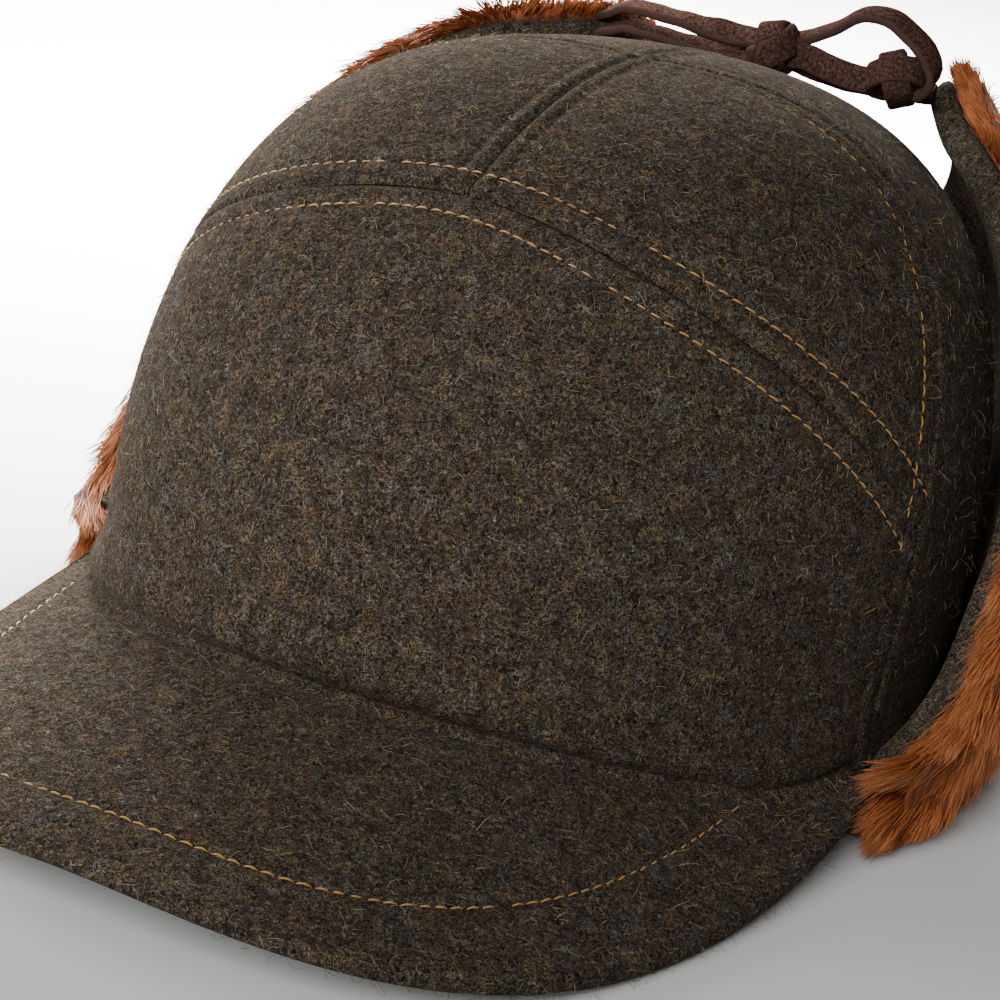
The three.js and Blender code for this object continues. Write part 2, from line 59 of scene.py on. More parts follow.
# Crown, as the frame has it: metres, z 0 at the rim, the brim to -Y and the wearer's left to +X.
CROWN_HALF_WIDTH = 87 * MM
CROWN_FRONT = 100 * MM
CROWN_BACK = 100 * MM
CROWN_HEIGHT = 119 * MM
APEX_SET_BACK = 16.5 * MM
WOOL_WALL = 3 * MM
PLAN_POWER = 1.96
ROOF_POWER = 2.79
SIDE_POWER, SIDE_LEAN = 2.86, -0.075
FRONT_POWER, FRONT_LEAN = 1.94, -0.1
BACK_POWER, BACK_LEAN = 2.57, -0.071
FRONT_FLARE = 0.068
FLARE_HEIGHT = 0.07

# Seams, as turns about the crown and rises up it in degrees, and the stitch rows beside them.
SIDE_SEAM_TURN = 79.7
SIDE_SEAM_SWEEP = 0.2
ARCH_TOP_RISE = 52
ARCH_END_RISE = 15.3
ARCH_POWER = 2
TOP_RISE = 89.97
SEAM_GAP = 0.3 * MM
CLOSED_GAP = 0.13 * MM
ARCH_ROW = 6 * MM
SIDE_ROW = 5.5 * MM
CENTRE_ROW = 4.3 * MM
BRIM_ROW = 14.2 * MM

# Brim.
BRIM_LENGTH = 65.5 * MM
BRIM_HALF_WIDTH = 91.3 * MM
BRIM_CORNER_SET_BACK = 29.3 * MM
BRIM_PLAN_POWER = 2.55
BRIM_RISE = 16.2 * MM
BRIM_FALL = 0.156
BRIM_SIDE_DROP = 29.1 * MM
BRIM_THICKNESS = 4 * MM
BRIM_END_TURN = 74.4
BRIM_INSET = 4.5 * MM
RIM_FADE = 8

# Turned-up flaps and their fur.
FLAP_WALL = 4 * MM
EDGE_ROLL = 3 * MM
EDGE_ROLL_REACH = 7 * MM
FLAP_STAND_OFF = 10 * MM
HEM_STAND_OFF = 1.5 * MM
HEM_ROUND = 2.5 * MM
FUR_DEPTH = 13 * MM
FUR_EDGE_DEPTH = 6 * MM
FUR_EDGE_REACH = 16 * MM
FUR_LIFT = 1.5 * MM
HEM_HAIR = 10 * MM
EDGE_HAIR_SHARE = 0.3
CORNER_HAIR = 45 * MM
EDGE_HAIR_ROW = 3 * MM
EDGE_HAIR_LIFT = 1.2 * MM

# Flap edges: turn at the rim, turn and rise at the free edge, stand-off as a share of FLAP_STAND_OFF.
FLAP_COLUMNS = ("base", "turn", "rise", "off")
LEFT_EDGE = [
    (75.4, 75.4, 0.3, 0.3), (80, 80, 1.6, 0.5), (84, 83, 5, 0.75), (90, 85, 13, 1),
    (97, 91, 25, 0.9), (104, 101, 38, 0.55), (112, 116, 48, 0.45), (120, 131, 52, 0.6),
    (129, 142, 53.5, 1.2), (138, 147, 42, 1.2), (147, 155, 33, 1), (155, 162, 29, 0.8),
]
RIGHT_EDGE = [
    (75.4, 75.4, 0.3, 0.3), (81, 80, 1.4, 0.35), (86, 85, 5, 0.4), (92, 91, 13, 0.35),
    (98, 99, 29, 0.4), (105, 111, 45, 0.5), (112, 123, 53, 0.5), (121, 136, 56.5, 0.45),
    (130, 146, 56.5, 0.5), (139, 154, 52.5, 0.7), (147, 160, 41, 0.9), (155, 162, 29, 0.8),
]
NECK_EDGE = [
    (155, 162, 29, 0.8), (168, 172, 24.5, 0.75), (180, 180, 24, 0.75), (192, 188, 24.5, 0.75),
    (205, 198, 29, 0.8),
]


def side_seam(rise):
    return SIDE_SEAM_TURN + SIDE_SEAM_SWEEP * (rise - ARCH_END_RISE)


def arch_rise(turn):
    fall = (np.abs(turn) / SIDE_SEAM_TURN) ** ARCH_POWER
    return ARCH_TOP_RISE - (ARCH_TOP_RISE - ARCH_END_RISE) * fall


def height_share(rise):
    return np.sin(np.radians(rise)) ** (2 / ROOF_POWER)


def rise_at(share):
    return np.degrees(np.arcsin(np.clip(share, 0, 1) ** (ROOF_POWER / 2)))


def crown_point(turn, rise):
    """Outer face of the crown at turns and rises in degrees."""
    turn, rise = np.broadcast_arrays(np.asarray(turn, float), np.clip(rise, 0, 89.999))
    sin, cos = np.sin(np.radians(turn)), np.cos(np.radians(turn))
    front, back = np.maximum(cos, 0) ** 2, np.maximum(-cos, 0) ** 2
    side = 1 - front - back
    power = SIDE_POWER * side + FRONT_POWER * front + BACK_POWER * back
    lean = SIDE_LEAN * side + FRONT_LEAN * front + BACK_LEAN * back
    up = height_share(rise)
    flare = 1 + FRONT_FLARE * np.clip((cos + 0.1) / 0.6, 0, 1) * np.exp(-up / FLARE_HEIGHT)
    reach = np.cos(np.radians(rise)) ** (2 / power) * (1 - lean * up) * flare
    plan = (np.abs(sin) ** PLAN_POWER + np.abs(cos) ** PLAN_POWER) ** (-1 / PLAN_POWER)
    depth = np.where(cos > 0, CROWN_FRONT, CROWN_BACK)
    return np.stack([
        CROWN_HALF_WIDTH * plan * sin * reach,
        -depth * plan * cos * reach + APEX_SET_BACK * up,
        CROWN_HEIGHT * up,
    ], -1)


def unit(vectors):
    return vectors / np.maximum(np.linalg.norm(vectors, axis=-1, keepdims=True), 1e-12)


def crown_normal(turn, rise):
    step = 0.02
    rise = np.asarray(rise, float)
    along = crown_point(turn + step, rise) - crown_point(turn - step, rise)
    upward = crown_point(turn, rise + step) - crown_point(turn, np.maximum(rise - step, 0.001))
    return unit(np.cross(along, upward))


def level_normal(turn):
    normal = crown_normal(turn, 1.0)
    normal[..., 2] = 0
    return unit(normal)


def brim_top(x, y):
    ahead = -y - (CROWN_FRONT - WOOL_WALL)
    return BRIM_RISE - BRIM_FALL * ahead - BRIM_SIDE_DROP * (x / BRIM_HALF_WIDTH) ** 2


def on_brim(points, below=0.0):
    """The same points moved up or down to a depth below the brim's top face."""
    return np.stack([points[..., 0], points[..., 1], brim_top(points[..., 0], points[..., 1]) - below], -1)


def rim_height(turn, x, y):
    past = np.clip((np.abs(turn) - side_seam(0)) / RIM_FADE, 0, 1)
    return np.maximum(0, brim_top(x, y)) * (1 - past)


def rim_rise(turn):
    rise = np.full(np.shape(turn), 8.0)
    for _ in range(14):
        point = crown_point(turn, rise)
        rise = rise_at(rim_height(turn, point[..., 0], point[..., 1]) / CROWN_HEIGHT)
    return rise


def rim_point(turn, inset):
    point = crown_point(turn, rim_rise(turn)) - level_normal(turn) * inset
    point[..., 2] = rim_height(turn, point[..., 0], point[..., 1])
    return point


def brim_edge(share):
    """Edge of the brim's top face, from -1 at the wearer's right to 1 at the left."""
    sweep = np.radians(np.asarray(share) * 90)
    reach = CROWN_FRONT + BRIM_LENGTH - BRIM_CORNER_SET_BACK
    power = 2 / BRIM_PLAN_POWER
    x = BRIM_HALF_WIDTH * np.sign(np.sin(sweep)) * np.abs(np.sin(sweep)) ** power
    y = -(BRIM_CORNER_SET_BACK + reach * np.abs(np.cos(sweep)) ** power)
    return np.stack([x, y, brim_top(x, y)], -1)


REST_LEVEL = brim_edge(np.linspace(-1, 1, 401))[:, 2].min() - BRIM_THICKNESS


def frame_shift():
    """Place of the crown's own origin in the frame, read from the CAD brim."""
    low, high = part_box("brim")
    return np.array([
        (low.x + high.x) / 2,
        low.y + CROWN_FRONT + BRIM_LENGTH,
        -REST_LEVEL,
    ])


SHIFT = frame_shift()


def mix(a, b, share):
    return a + (b - a) * share


def even_rise(low, high, share):
    """Rise at a share of the way up a panel, in steps that stay even over the dome."""
    rises = np.linspace(0, 89.99, 3000)
    run = height_share(rises) * CROWN_HEIGHT + CROWN_HALF_WIDTH - crown_point(90, rises)[:, 0]
    target = mix(np.interp(low, rises, run), np.interp(high, rises, run), share)
    return np.interp(target, run, rises)


def turn_for(distance, rise, turn):
    point = crown_point(turn, rise)
    axis = APEX_SET_BACK * height_share(rise)
    return np.degrees(distance / np.maximum(np.hypot(point[..., 0], point[..., 1] - axis), 1e-4))


def graded(share, fineness):
    """The same share, with steps that close up towards both ends."""
    return share - fineness * np.sin(2 * np.pi * share) / (2 * np.pi)


def smooth_between(a, b, c, d, t):
    """Value at a share t of the way from b to c, on a smooth curve through all four."""
    return b + 0.5 * t * (c - a + t * (2 * a - 5 * b + 4 * c - d + t * (3 * (b - c) + d - a)))


def table_row(table, share):
    """Row of an edge table at shares of the way along it, smoothed through its neighbours."""
    rows = np.array(table, float)
    place = np.asarray(share, float) * (len(rows) - 1)
    index = np.clip(np.floor(place).astype(int), 0, len(rows) - 2)
    t = (place - index)[..., None]
    value = smooth_between(*(rows[np.clip(index + k, 0, len(rows) - 1)] for k in (-1, 0, 1, 2)), t)
    return dict(zip(FLAP_COLUMNS, np.moveaxis(value, -1, 0)))


def flap_height(table, share):
    return CROWN_HEIGHT * height_share(table_row(table, share)["rise"])


def flap_point(table, share, up, out=0.0, outer=False):
    """Point and normal on a turned-up flap, at shares of its length and of its height."""
    edge = table_row(table, share)
    top = height_share(edge["rise"])
    stand_off = mix(HEM_STAND_OFF, edge["off"] * FLAP_STAND_OFF, np.sin(np.radians(90 * up)) ** 1.2)
    turn = mix(edge["base"], edge["turn"], up)
    rise = rise_at(np.maximum(up, 0.02) * top)
    normal = crown_normal(turn, rise)
    roll = np.exp(-(((1 - up) * CROWN_HEIGHT * top / EDGE_ROLL_REACH) ** 2))
    wall = (FLAP_WALL + EDGE_ROLL * roll) if outer else 0.0
    offset = np.asarray(stand_off + wall + out)[..., None]
    return crown_point(turn, rise) + normal * offset, normal


def hem_point(turn, out, z):
    point = crown_point(turn, 0.001) + level_normal(turn) * np.asarray(out)[..., None]
    point[..., 2] = z
    return point


def pile_depth(table, share, up):
    to_edge = np.clip((1 - up) * flap_height(table, share) / FUR_EDGE_REACH, 0, 1)
    return mix(FUR_EDGE_DEPTH, FUR_DEPTH, to_edge**0.6)


def mirror(points, side):
    return points * np.array([side, 1, 1])


# Seams and their relief.


def seam_lines():
    """Seams of the crown as dense lines of points."""
    turns = np.linspace(-SIDE_SEAM_TURN, SIDE_SEAM_TURN, 500)
    rises = np.linspace(0, 89, 400)
    left = crown_point(side_seam(rises), rises)
    return {
        "arch": crown_point(turns, arch_rise(turns)),
        "left": left,
        "right": mirror(left, -1),
        "centre": crown_point(0, np.linspace(ARCH_TOP_RISE, 89, 200)),
        "back": crown_point(180, rises),
        "rim": rim_point(np.linspace(-BRIM_END_TURN, BRIM_END_TURN, 400), 0),
    }


def square_distances(points, others):
    return (points**2).sum(1)[:, None] + (others**2).sum(1)[None, :] - 2 * points @ others.T


def line_distance(points, line):
    """Distance from each point to a line of dense points."""
    flat = points.reshape(-1, 3)
    nearest = np.argmin(square_distances(flat, line), 1)
    tangent = unit(line[np.minimum(nearest + 1, len(line) - 1)] - line[np.maximum(nearest - 1, 0)])
    offset = flat - line[nearest]
    inside = (nearest > 0) & (nearest < len(line) - 1)
    along = (offset * tangent).sum(1, keepdims=True) * inside[:, None]
    return np.linalg.norm(offset - along * tangent, axis=1).reshape(points.shape[:-1])


def dip(distance, depth, width):
    return -depth * np.exp(-((distance / width) ** 2))


# The left side seam serves both sides: points are folded onto its side of the cap.
FOLD = {
    seam: np.array([float(seam == "left"), 0, 0]) for seam in ("arch", "left", "centre", "back", "rim")
}

SEAM_FORMS = {
    # groove and its width, puff beside it, stitch row, its depth and its width
    "arch": (1.1 * MM, 0.7 * MM, 0.25 * MM, ARCH_ROW, 0.35 * MM, 0.7 * MM),
    "left": (0.9 * MM, 0.7 * MM, 0.15 * MM, SIDE_ROW, 0.22 * MM, 0.8 * MM),
    "centre": (0.5 * MM, 0.9 * MM, 0.2 * MM, CENTRE_ROW, 0.4 * MM, 0.9 * MM),
    "back": (0.5 * MM, 0.9 * MM, 0.2 * MM, CENTRE_ROW, 0.4 * MM, 0.9 * MM),
}


def seam_relief(distance, seam):
    groove, width, puff, row, row_depth, row_width = SEAM_FORMS[seam]
    return (
        dip(distance, groove, width)
        + dip(distance - 0.5 * row, -puff, 0.3 * row)
        + dip(distance - row, row_depth, row_width)
    )


# The crown's foot: how deep it is tucked under and over what width, then the puff above and its place.
RIM_TUCK, RIM_TUCK_WIDTH = 3.4 * MM, 2.1 * MM
RIM_PUFF, RIM_PUFF_PLACE, RIM_PUFF_WIDTH = 0.8 * MM, 7 * MM, 4 * MM
CLOTH_WAVE = 0.12 * MM


def rim_relief(distance):
    """The crown's foot, puffed out and then rolled under where the brim is sewn on."""
    return dip(distance, RIM_TUCK, RIM_TUCK_WIDTH) + dip(distance - RIM_PUFF_PLACE, -RIM_PUFF, RIM_PUFF_WIDTH)


def gentle_waves(points):
    """Slight unevenness of sewn cloth, a few tenths of a millimetre."""
    x, y, z = np.moveaxis(points / MM, -1, 0)
    return CLOTH_WAVE * (
        np.sin(x / 13 + 1.3 * np.sin(z / 17)) + np.sin(y / 15 + z / 19 + 2) + np.sin(z / 9 + x / 23 + 0.7))


# Modelling helpers.


def select_only(piece):
    bpy.ops.object.select_all(action="DESELECT")
    piece.select_set(True)
    bpy.context.view_layer.objects.active = piece


def seal(piece):
    """Joins the points that meet, fills what is left open and turns the faces outwards."""
    select_only(piece)
    bpy.ops.object.mode_set(mode="EDIT")
    for step, settings in (
        (bpy.ops.mesh.remove_doubles, {"threshold": 1e-6}),
        (bpy.ops.mesh.fill_holes, {"sides": 0}),
        (bpy.ops.mesh.normals_make_consistent, {"inside": False}),
    ):
        bpy.ops.mesh.select_all(action="SELECT")
        step(**settings)
    bpy.ops.object.mode_set(mode="OBJECT")


def laid_grid(name, places, closed=False):
    """A grid primitive whose vertices go to places, an array of columns by rows of points."""
    columns, rows = places.shape[0] - 1, places.shape[1] - 1
    bpy.ops.object.select_all(action="DESELECT")
    bpy.ops.mesh.primitive_grid_add(x_subdivisions=columns, y_subdivisions=rows, size=2)
    piece = bpy.context.object
    piece.name = piece.data.name = name
    points = np.zeros(len(piece.data.vertices) * 3, np.float32)
    piece.data.vertices.foreach_get("co", points)
    plan = points.reshape(-1, 3)
    column = np.rint((plan[:, 0] + 1) / 2 * columns).astype(int)
    row = np.rint((plan[:, 1] + 1) / 2 * rows).astype(int)
    moved = (places[column, row] + SHIFT).astype(np.float32)
    piece.data.vertices.foreach_set("co", moved.ravel())
    piece.data.update()
    if closed:
        seal(piece)
    return piece


def thicken(piece, wall):
    """A wall of that thickness inside the piece's outer face."""
    bpy.ops.object.modifier_add(type="SOLIDIFY")
    solidify = piece.modifiers[-1]
    solidify.thickness = wall
    solidify.offset = -1
    bpy.ops.object.modifier_apply(modifier=solidify.name)


def finish_piece(piece, material, replaces=(), smooth_angle=50):
    """Smooth shading, material and body, and hides the nodes that the piece stands for."""
    select_only(piece)
    bpy.ops.object.shade_smooth_by_angle(angle=math.radians(smooth_angle))
    piece.data.materials.clear()
    piece.data.materials.append(material)
    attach(piece, "root")
    if replaces:
        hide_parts(*replaces)
    return piece


def run_along(line):
    """Distance along a line at each of its points."""
    return np.concatenate([[0], np.cumsum(np.linalg.norm(np.diff(line, axis=0), axis=1))])


def read_along(marks, run, values):
    """Values of a line's points at distances along it."""
    return np.stack([np.interp(marks, run, values[:, k]) for k in range(3)], 1)


def repeated(faces, count, step):
    """The same faces for each of a count of like parts, whose points lie a step apart."""
    return [tuple(corner + part * step for corner in face) for part in range(count) for face in faces]


def mesh_piece(name, points, faces, values=None):
    """A mesh from arrays, with named values on its points."""
    mesh = bpy.data.meshes.new(name)
    mesh.from_pydata(np.asarray(points).tolist(), [], faces)
    for key, value in (values or {}).items():
        attribute = mesh.attributes.new(key, "FLOAT", "POINT")
        attribute.data.foreach_set("value", np.asarray(value, np.float32))
    mesh.update()
    piece = bpy.data.objects.new(name, mesh)
    bpy.context.scene.collection.objects.link(piece)
    return piece


def strand_mesh(name, lines, radii, tones):
    """Closed three-sided strands: lines is strands by points by 3, and the last point is the tip."""
    count, stations = lines.shape[0], lines.shape[1] - 1
    tangent = unit(np.diff(lines, axis=1))
    tilt = np.array([0.31, 0.17, 0.94])
    aside = unit(np.cross(tangent, tilt))
    over = np.cross(tangent, aside)
    angles = np.arange(3) * 2 * np.pi / 3
    ring = (
        aside[:, :, None, :] * np.cos(angles)[None, None, :, None]
        + over[:, :, None, :] * np.sin(angles)[None, None, :, None]
    )
    rings = lines[:, :-1, None, :] + ring * radii[:, :, None, None]
    points = np.concatenate([rings.reshape(count, stations * 3, 3), lines[:, -1:, :]], 1)
    per_strand = stations * 3 + 1
    pattern = [(2, 1, 0)]
    for level in range(stations - 1):
        low, high = level * 3, level * 3 + 3
        for side in range(3):
            turned = (side + 1) % 3
            pattern.append((low + side, low + turned, high + turned, high + side))
    last = (stations - 1) * 3
    pattern += [(last + side, last + (side + 1) % 3, stations * 3) for side in range(3)]
    along = np.concatenate([np.repeat(np.arange(stations) / stations, 3), [1.0]])
    values = {"along": np.tile(along, count), "tone": np.repeat(tones, per_strand)}
    return mesh_piece(
        name, points.reshape(-1, 3) + SHIFT, repeated(pattern, count, per_strand), values)


# Materials.


def linear(hex_colour):
    """sRGB hex to linear colour, opaque."""
    values = [int(hex_colour[i:i + 2], 16) / 255 for i in (1, 3, 5)]
    return [v / 12.92 if v <= 0.04045 else ((v + 0.055) / 1.055) ** 2.4 for v in values] + [1]


def set_inputs(material, node, inputs):
    """Links a node's inputs to sockets or to the first outputs of nodes, or gives them values."""
    for key, value in inputs.items():
        if isinstance(value, bpy.types.Node):
            value = value.outputs[0]
        if isinstance(value, bpy.types.NodeSocket):
            material.node_tree.links.new(value, node.inputs[key])
        else:
            node.inputs[key].default_value = value


def add_node(material, kind, inputs=None, stops=(), **settings):
    """Adds a node with its settings, its input values or links, and its colour stops."""
    node = material.node_tree.nodes.new(kind)
    for key, value in settings.items():
        setattr(node, key, value)
    set_inputs(material, node, inputs or {})
    if stops:
        ramp = node.color_ramp
        while len(ramp.elements) < len(stops):
            ramp.elements.new(0.5)
        for element, (place, colour) in zip(ramp.elements, stops):
            element.position = place
            element.color = linear(colour) if isinstance(colour, str) else (colour,) * 3 + (1,)
    return node


def new_material(name):
    material = bpy.data.materials.new(name)
    material.use_nodes = True
    return material, material.node_tree.nodes["Principled BSDF"]


def wool_melton(name):
    """Heathered melton: fulled wool with no visible weave, a dull face of tangled fibres in brown,
    black, olive and blue-grey with rust and gold specks, and a soft pale bloom at grazing angles."""
    material, surface = new_material(name)
    place = add_node(material, "ShaderNodeTexCoord").outputs["Object"]
    # Tangle of fibres in clumps under 1 mm across.
    tangle = add_node(material, "ShaderNodeTexNoise", {
        "Vector": place, "Scale": 1200, "Detail": 3, "Roughness": 0.75, "Distortion": 1.6})
    ground = add_node(material, "ShaderNodeValToRGB", {"Fac": tangle}, stops=[
        (0.32, "#0f0d0c"), (0.42, "#221e1a"), (0.5, "#352f2a"), (0.58, "#4b443d"), (0.7, "#786f64")])
    # Clusters of differently dyed fibre, about 2 mm across.
    dye = add_node(material, "ShaderNodeTexNoise", {
        "Vector": place, "Scale": 420, "Detail": 2, "Roughness": 0.6, "Distortion": 0.8})
    dyed = add_node(material, "ShaderNodeValToRGB", {"Fac": dye}, stops=[
        (0.3, "#667680"), (0.42, "#746f6a"), (0.5, "#7e756d"), (0.58, "#7b7458"), (0.7, "#8d6858")])
    heather = add_node(
        material, "ShaderNodeMixRGB", {"Fac": 0.5, "Color1": ground, "Color2": dyed}, blend_type="SOFT_LIGHT")
    # Curly hairs: thin level lines of a twisted noise.
    curl = add_node(material, "ShaderNodeTexNoise", {
        "Vector": place, "Scale": 430, "Detail": 2, "Roughness": 0.55, "Distortion": 2.6})
    level = add_node(material, "ShaderNodeMath", {0: curl, 1: 0.5}, operation="SUBTRACT")
    edge = add_node(material, "ShaderNodeMath", {0: level}, operation="ABSOLUTE")
    hair = add_node(
        material, "ShaderNodeValToRGB", {"Fac": edge}, stops=[(0.0, 1.0), (0.014, 0.0)])
    patch = add_node(material, "ShaderNodeTexNoise", {"Vector": place, "Scale": 260, "Detail": 1})
    patches = add_node(
        material, "ShaderNodeValToRGB", {"Fac": patch}, stops=[(0.44, 0.0), (0.6, 0.8)])
    where = add_node(material, "ShaderNodeMath", {0: hair, 1: patches}, operation="MULTIPLY")
    hue = add_node(material, "ShaderNodeTexNoise", {"Vector": place, "Scale": 190, "Detail": 1})
    hues = add_node(material, "ShaderNodeValToRGB", {"Fac": hue}, stops=[
        (0.38, "#71787a"), (0.46, "#857b68"), (0.54, "#937b48"), (0.64, "#80583d")])
    haired = add_node(material, "ShaderNodeMixRGB", {"Fac": where, "Color1": heather, "Color2": hues})
    relief = add_node(material, "ShaderNodeBump", {"Height": tangle, "Strength": 0.45, "Distance": 0.4 * MM})
    set_inputs(material, surface, {
        "Base Color": haired, "Normal": relief, "Roughness": 0.95, "Specular IOR Level": 0,
        "Sheen Weight": 0.05, "Sheen Roughness": 0.35, "Sheen Tint": linear("#c9bfb0")})
    return material


def stray_wool(name):
    """Loose wool fibre: each one a single dye, from blue-grey and beige to gold and rust."""
    material, surface = new_material(name)
    tone = add_node(material, "ShaderNodeAttribute", attribute_name="tone")
    colour = add_node(material, "ShaderNodeValToRGB", {"Fac": tone.outputs["Fac"]}, stops=[
        (0.0, "#1e1a17"), (0.4, "#423b33"), (0.6, "#625a4f"), (0.78, "#837b6e"), (0.9, "#8a7040"),
        (1.0, "#704d38")])
    set_inputs(material, surface, {"Base Color": colour, "Roughness": 0.8, "Specular IOR Level": 0.2})
    return material


def polyester_thread(name):
    """Topstitching thread: twisted golden-orange yarn with a slight lustre."""
    material, surface = new_material(name)
    set_inputs(material, surface, {"Base Color": linear("#98691f"), "Roughness": 0.5, "Sheen Weight": 0.2})
    return material


def rabbit_hair(name):
    """Dyed rabbit hair: dark rust roots, which partly paint the shade deep in the pile, russet length
    and paler ginger tips, each lock a little different, with a soft silky gloss along the hair."""
    material, surface = new_material(name)
    along = add_node(material, "ShaderNodeAttribute", attribute_name="along")
    tone = add_node(material, "ShaderNodeAttribute", attribute_name="tone")
    # Darker towards the root: partly the hair's own colour, partly painted shade deep in the pile.
    length = add_node(material, "ShaderNodeValToRGB", {"Fac": along.outputs["Fac"]}, stops=[
        (0.0, "#42200f"), (0.35, "#8c4c28"), (0.7, "#ad6a3e"), (1.0, "#c98c60")])
    each = add_node(material, "ShaderNodeValToRGB", {"Fac": tone.outputs["Fac"]}, stops=[
        (0.0, "#6a5448"), (0.5, "#8c8078"), (1.0, "#b8a898")])
    colour = add_node(
        material, "ShaderNodeMixRGB", {"Fac": 0.6, "Color1": length, "Color2": each}, blend_type="OVERLAY")
    set_inputs(material, surface, {"Base Color": colour, "Roughness": 0.55, "Specular IOR Level": 0.12})
    return material


def rabbit_underfur(name):
    """Dense underfur next to the skin, seen only as dark rust between the longer hairs, its dark
    colour partly painted shade deep in the pile.
    """
    material, surface = new_material(name)
    place = add_node(material, "ShaderNodeTexCoord").outputs["Object"]
    # Tufts 2 to 3 mm across, longer down the nap than across it.
    stretch = add_node(material, "ShaderNodeMapping", {"Vector": place, "Scale": (1, 1, 0.35)})
    tuft = add_node(material, "ShaderNodeTexNoise", {
        "Vector": stretch, "Scale": 420, "Detail": 3, "Roughness": 0.6})
    # Dark rust tones: partly the underfur's own colour, partly painted shade deep in the pile.
    colour = add_node(material, "ShaderNodeValToRGB", {"Fac": tuft}, stops=[
        (0.35, "#3a180a"), (0.5, "#683519"), (0.7, "#8a502c")])
    relief = add_node(material, "ShaderNodeBump", {"Height": tuft, "Strength": 0.9, "Distance": 1.2 * MM})
    set_inputs(material, surface, {
        "Base Color": colour, "Normal": relief, "Roughness": 0.8, "Specular IOR Level": 0.2})
    return material


def suede_split(name):
    """Suede split lace: brushed dark brown face with a fine nap, and paler raw cut edges."""
    material, surface = new_material(name)
    place = add_node(material, "ShaderNodeTexCoord").outputs["Object"]
    # Nap in clumps a little over 0.5 mm across.
    nap = add_node(material, "ShaderNodeTexNoise", {
        "Vector": place, "Scale": 1500, "Detail": 3, "Roughness": 0.7})
    face = add_node(material, "ShaderNodeValToRGB", {"Fac": nap}, stops=[
        (0.35, "#1f1411"), (0.5, "#34241f"), (0.68, "#4e3a33")])
    edge = add_node(material, "ShaderNodeAttribute", attribute_name="cut")
    colour = add_node(material, "ShaderNodeMixRGB", {
        "Fac": edge.outputs["Fac"], "Color1": face, "Color2": linear("#392a25")})
    relief = add_node(material, "ShaderNodeBump", {"Height": nap, "Strength": 0.5, "Distance": 0.3 * MM})
    set_inputs(material, surface, {
        "Base Color": colour, "Normal": relief, "Roughness": 0.85, "Specular IOR Level": 0})
    return material


def plain_paper(name, colour):
    """Matt seamless paper."""
    material, surface = new_material(name)
    set_inputs(material, surface, {"Base Color": (*colour, 1), "Roughness": 0.9, "Specular IOR Level": 0.1})
    return material


# Sizes and colours that a user may change.


class CapSizes(bpy.types.PropertyGroup):
    stitch_pitch: FloatProperty(
        name="Stitch Pitch", description="Length of one topstitch", default=3 * MM, unit="LENGTH")
    thread_radius: FloatProperty(
        name="Thread Radius", description="Half the thread's width", default=0.18 * MM, unit="LENGTH")
    hair_length: FloatProperty(
        name="Hair Length", description="Mean length of the fur's hair", default=13 * MM, unit="LENGTH")
    ear_hairs: IntProperty(
        name="Ear Hairs", description="Hairs on each part of an ear flap", default=10500)
    neck_hairs: IntProperty(
        name="Neck Hairs", description="Hairs on the neck flap", default=7000)
    loose_fibres: IntProperty(
        name="Loose Fibres", description="Loose wool fibres on the front of the cap", default=11000)
    lace_width: FloatProperty(
        name="Lace Width", description="Width of the flat laces", default=5.8 * MM, unit="LENGTH")
    lace_thickness: FloatProperty(
        name="Lace Thickness", description="Thickness of the flat laces", default=2 * MM, unit="LENGTH")


class CapStage(bpy.types.PropertyGroup):
    floor_colour: FloatVectorProperty(
        name="Floor", description="Colour of the paper floor", default=(0.52, 0.52, 0.51), subtype="COLOR")
    back_power: FloatProperty(
        name="Back Light", description="Power of the large light behind the cap", default=32, unit="POWER")
    paper_power: FloatProperty(
        name="Paper Light", description="Power of the light turned from the cap to the paper behind it",
        default=125, unit="POWER")
    key_power: FloatProperty(
        name="Key Light", description="Power of the large light to the left of the cap", default=3.5,
        unit="POWER")
    fill_power: FloatProperty(
        name="Fill Light", description="Power of the wide light in front of the cap", default=10.5,
        unit="POWER")
    sky_strength: FloatProperty(
        name="Sky", description="Strength of the white surroundings", default=0.16)


# Pieces.


def panel_places(columns, rows, patch, seams):
    """Points of a crown panel: its patch of turns and rises, with the relief of its seams."""
    u, v = np.meshgrid(np.linspace(0, 1, columns + 1), np.linspace(0, 1, rows + 1), indexing="ij")
    turn, rise = patch(graded(u, 0.8), graded(v, 0.8))
    points = crown_point(turn, rise)
    relief = gentle_waves(points)
    for seam in seams:
        folded = np.abs(points) * FOLD[seam] + points * (1 - FOLD[seam])
        distance = line_distance(folded, SEAMS[seam])
        relief = relief + (rim_relief(distance) if seam == "rim" else seam_relief(distance, seam))
    return points + crown_normal(turn, rise) * relief[..., None]


def front_patch(u, v):
    across = u * 2 - 1
    foot = across * (side_seam(0) - turn_for(CLOSED_GAP, 0, SIDE_SEAM_TURN))
    head = across * (side_seam(ARCH_END_RISE) - turn_for(CLOSED_GAP, ARCH_END_RISE, SIDE_SEAM_TURN))
    low = rim_rise(foot)
    high = arch_rise(head) - np.degrees(CLOSED_GAP / CROWN_HEIGHT)
    rise = even_rise(low, high, v)
    return mix(foot, head, (rise - low) / (high - low)), rise


def top_patch(u, v):
    start = arch_rise(u * SIDE_SEAM_TURN) + np.degrees(CLOSED_GAP / CROWN_HEIGHT)
    rise = even_rise(start, TOP_RISE, v)
    reach = SIDE_SEAM_TURN + SIDE_SEAM_SWEEP * (rise - start)
    gap = turn_for(CLOSED_GAP, rise, 45)
    return mix(gap, reach - gap, u), rise


def back_patch(u, v):
    rise = even_rise(0.02, TOP_RISE, v) + 0 * u
    gap = turn_for(CLOSED_GAP, rise, 135)
    return mix(side_seam(rise) + gap, 180 - gap, u), rise


SEAMS = seam_lines()
